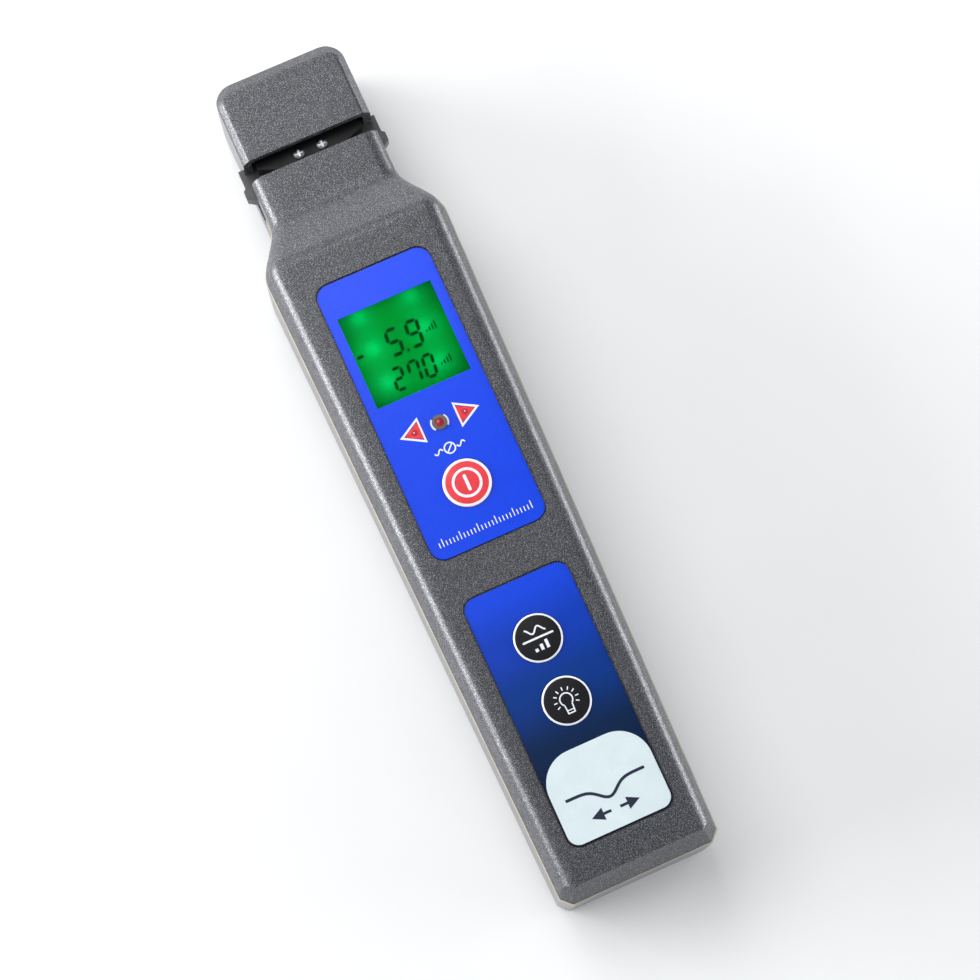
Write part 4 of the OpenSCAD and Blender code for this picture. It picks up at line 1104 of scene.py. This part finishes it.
def return_springs():
    """Return springs: merged copies of the imported coils, each with a mesh of its own."""
    for side in ("left", "right"):
        node = f"{side}_return_spring"
        spring = place(from_node(node), f"{side}_spring_coil", "spring_steel", [node],
                       weighted=False)
        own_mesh(spring)


def sensor_lead():
    """Flat sensor strip: a merged copy of the imported one, on no body, with its place baked into
    its mesh.
    """
    strip = place(from_node("sensor_strip"), "sensor_lead", "strip_amber", ["sensor_strip"], None,
                  weighted=False)
    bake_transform(strip)


def finish_nodes():
    """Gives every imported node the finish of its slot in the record."""
    slots = {row["node"]: row["material_slot"] for row in frame["record"]["subparts"]}
    for node, piece in frame["nodes"].items():
        piece.data.materials.clear()
        piece.data.materials.append(FINISHES[slots[node]])


# Studio

def lay_floor():
    bm = bmesh.new()
    rectangle(bm, FLOOR_SIZE, FLOOR_SIZE)
    bmesh.ops.translate(bm, verts=bm.verts, vec=(0, 0, -FLOOR_GAP))
    floor = as_object(bm, "floor")
    finish = Finish("floor_paper", roughness=0.9)
    tone = finish.spread(finish.noise(60, detail=3), 0.3, 0.7)
    finish.set("Base Color", finish.mix(tone, (0.94, 0.94, 0.94, 1), (0.97, 0.97, 0.97, 1)))
    floor.data.materials.append(finish.material)


def set_lights():
    world = bpy.data.worlds.new("studio")
    bpy.context.scene.world = world
    world.use_nodes = True
    sky = world.node_tree.nodes["Background"].inputs
    sky["Color"].default_value = (0.93, 0.96, 1.0, 1)
    sky["Strength"].default_value = 0.32

    # Name, place, point it faces, turn of a lamp that faces straight down, size and power
    lamps = (
        ("key_box", (-0.27, 0.726, 0.85), None, -0.188, (0.9, 0.9), 6.7),
        ("fill_box", (-0.27, 0.14, 0.85), None, -0.188, (0.66, 0.16), 0.35),
        ("left_box", (-0.9, 0.4, 0.2), (0, 0.1, 0.1), 0, (0.9, 0.4), 18),
        ("right_box", (0.9, -0.15, 0.12), (0, -0.05, 0.08), 0, (1.2, 0.24), 11),
        ("head_light", (0.0, 1.1, 0.21), (0, 0.07, 0.03), 0, (1.2, 0.36), 3),
        ("foot_light", (0.1, -1.0, 0.55), (0, 0, 0), 0, (0.8, 0.4), 2),
    )
    for name, spot, target, turn, size, power in lamps:
        data = bpy.data.lights.new(name, "AREA")
        data.shape = "RECTANGLE"
        data.size, data.size_y = size
        data.energy = power
        lamp = bpy.data.objects.new(name, data)
        lamp.location = spot
        lamp.rotation_euler = (0, 0, turn)
        if target:
            aim = Vector(target) - Vector(spot)
            lamp.rotation_euler = aim.to_track_quat("-Z", "Y").to_euler()
        bpy.context.scene.collection.objects.link(lamp)


def set_camera():
    data = bpy.data.cameras.new("camera")
    data.lens = 99.18
    data.sensor_width = 36
    camera = bpy.data.objects.new("camera", data)
    camera.matrix_world = Matrix((
        (0.9123, 0.40116, -0.08238, -0.05094),
        (-0.40953, 0.89378, -0.18288, -0.13675),
        (0.00027, 0.20058, 0.97968, 0.69426),
        (0, 0, 0, 1)))
    bpy.context.scene.collection.objects.link(camera)
    bpy.context.scene.camera = camera
    bpy.context.scene.view_settings.view_transform = "Standard"


lay_floor()
set_lights()
set_camera()
finish_nodes()
front_case()
head_front()
rear_case()
overlays()
keys()
display()
face_printing()
softened("battery_door", "door_panel", "speckled_grey", "door", 0.25)
softened("anvil", "anvil_block", "black_plastic")
softened("saddle", "saddle_block", "saddle_grey", "jaw")
softened("trigger", "trigger_pad", "black_plastic", "jaw", 0.25)
return_springs()
sensor_lead()
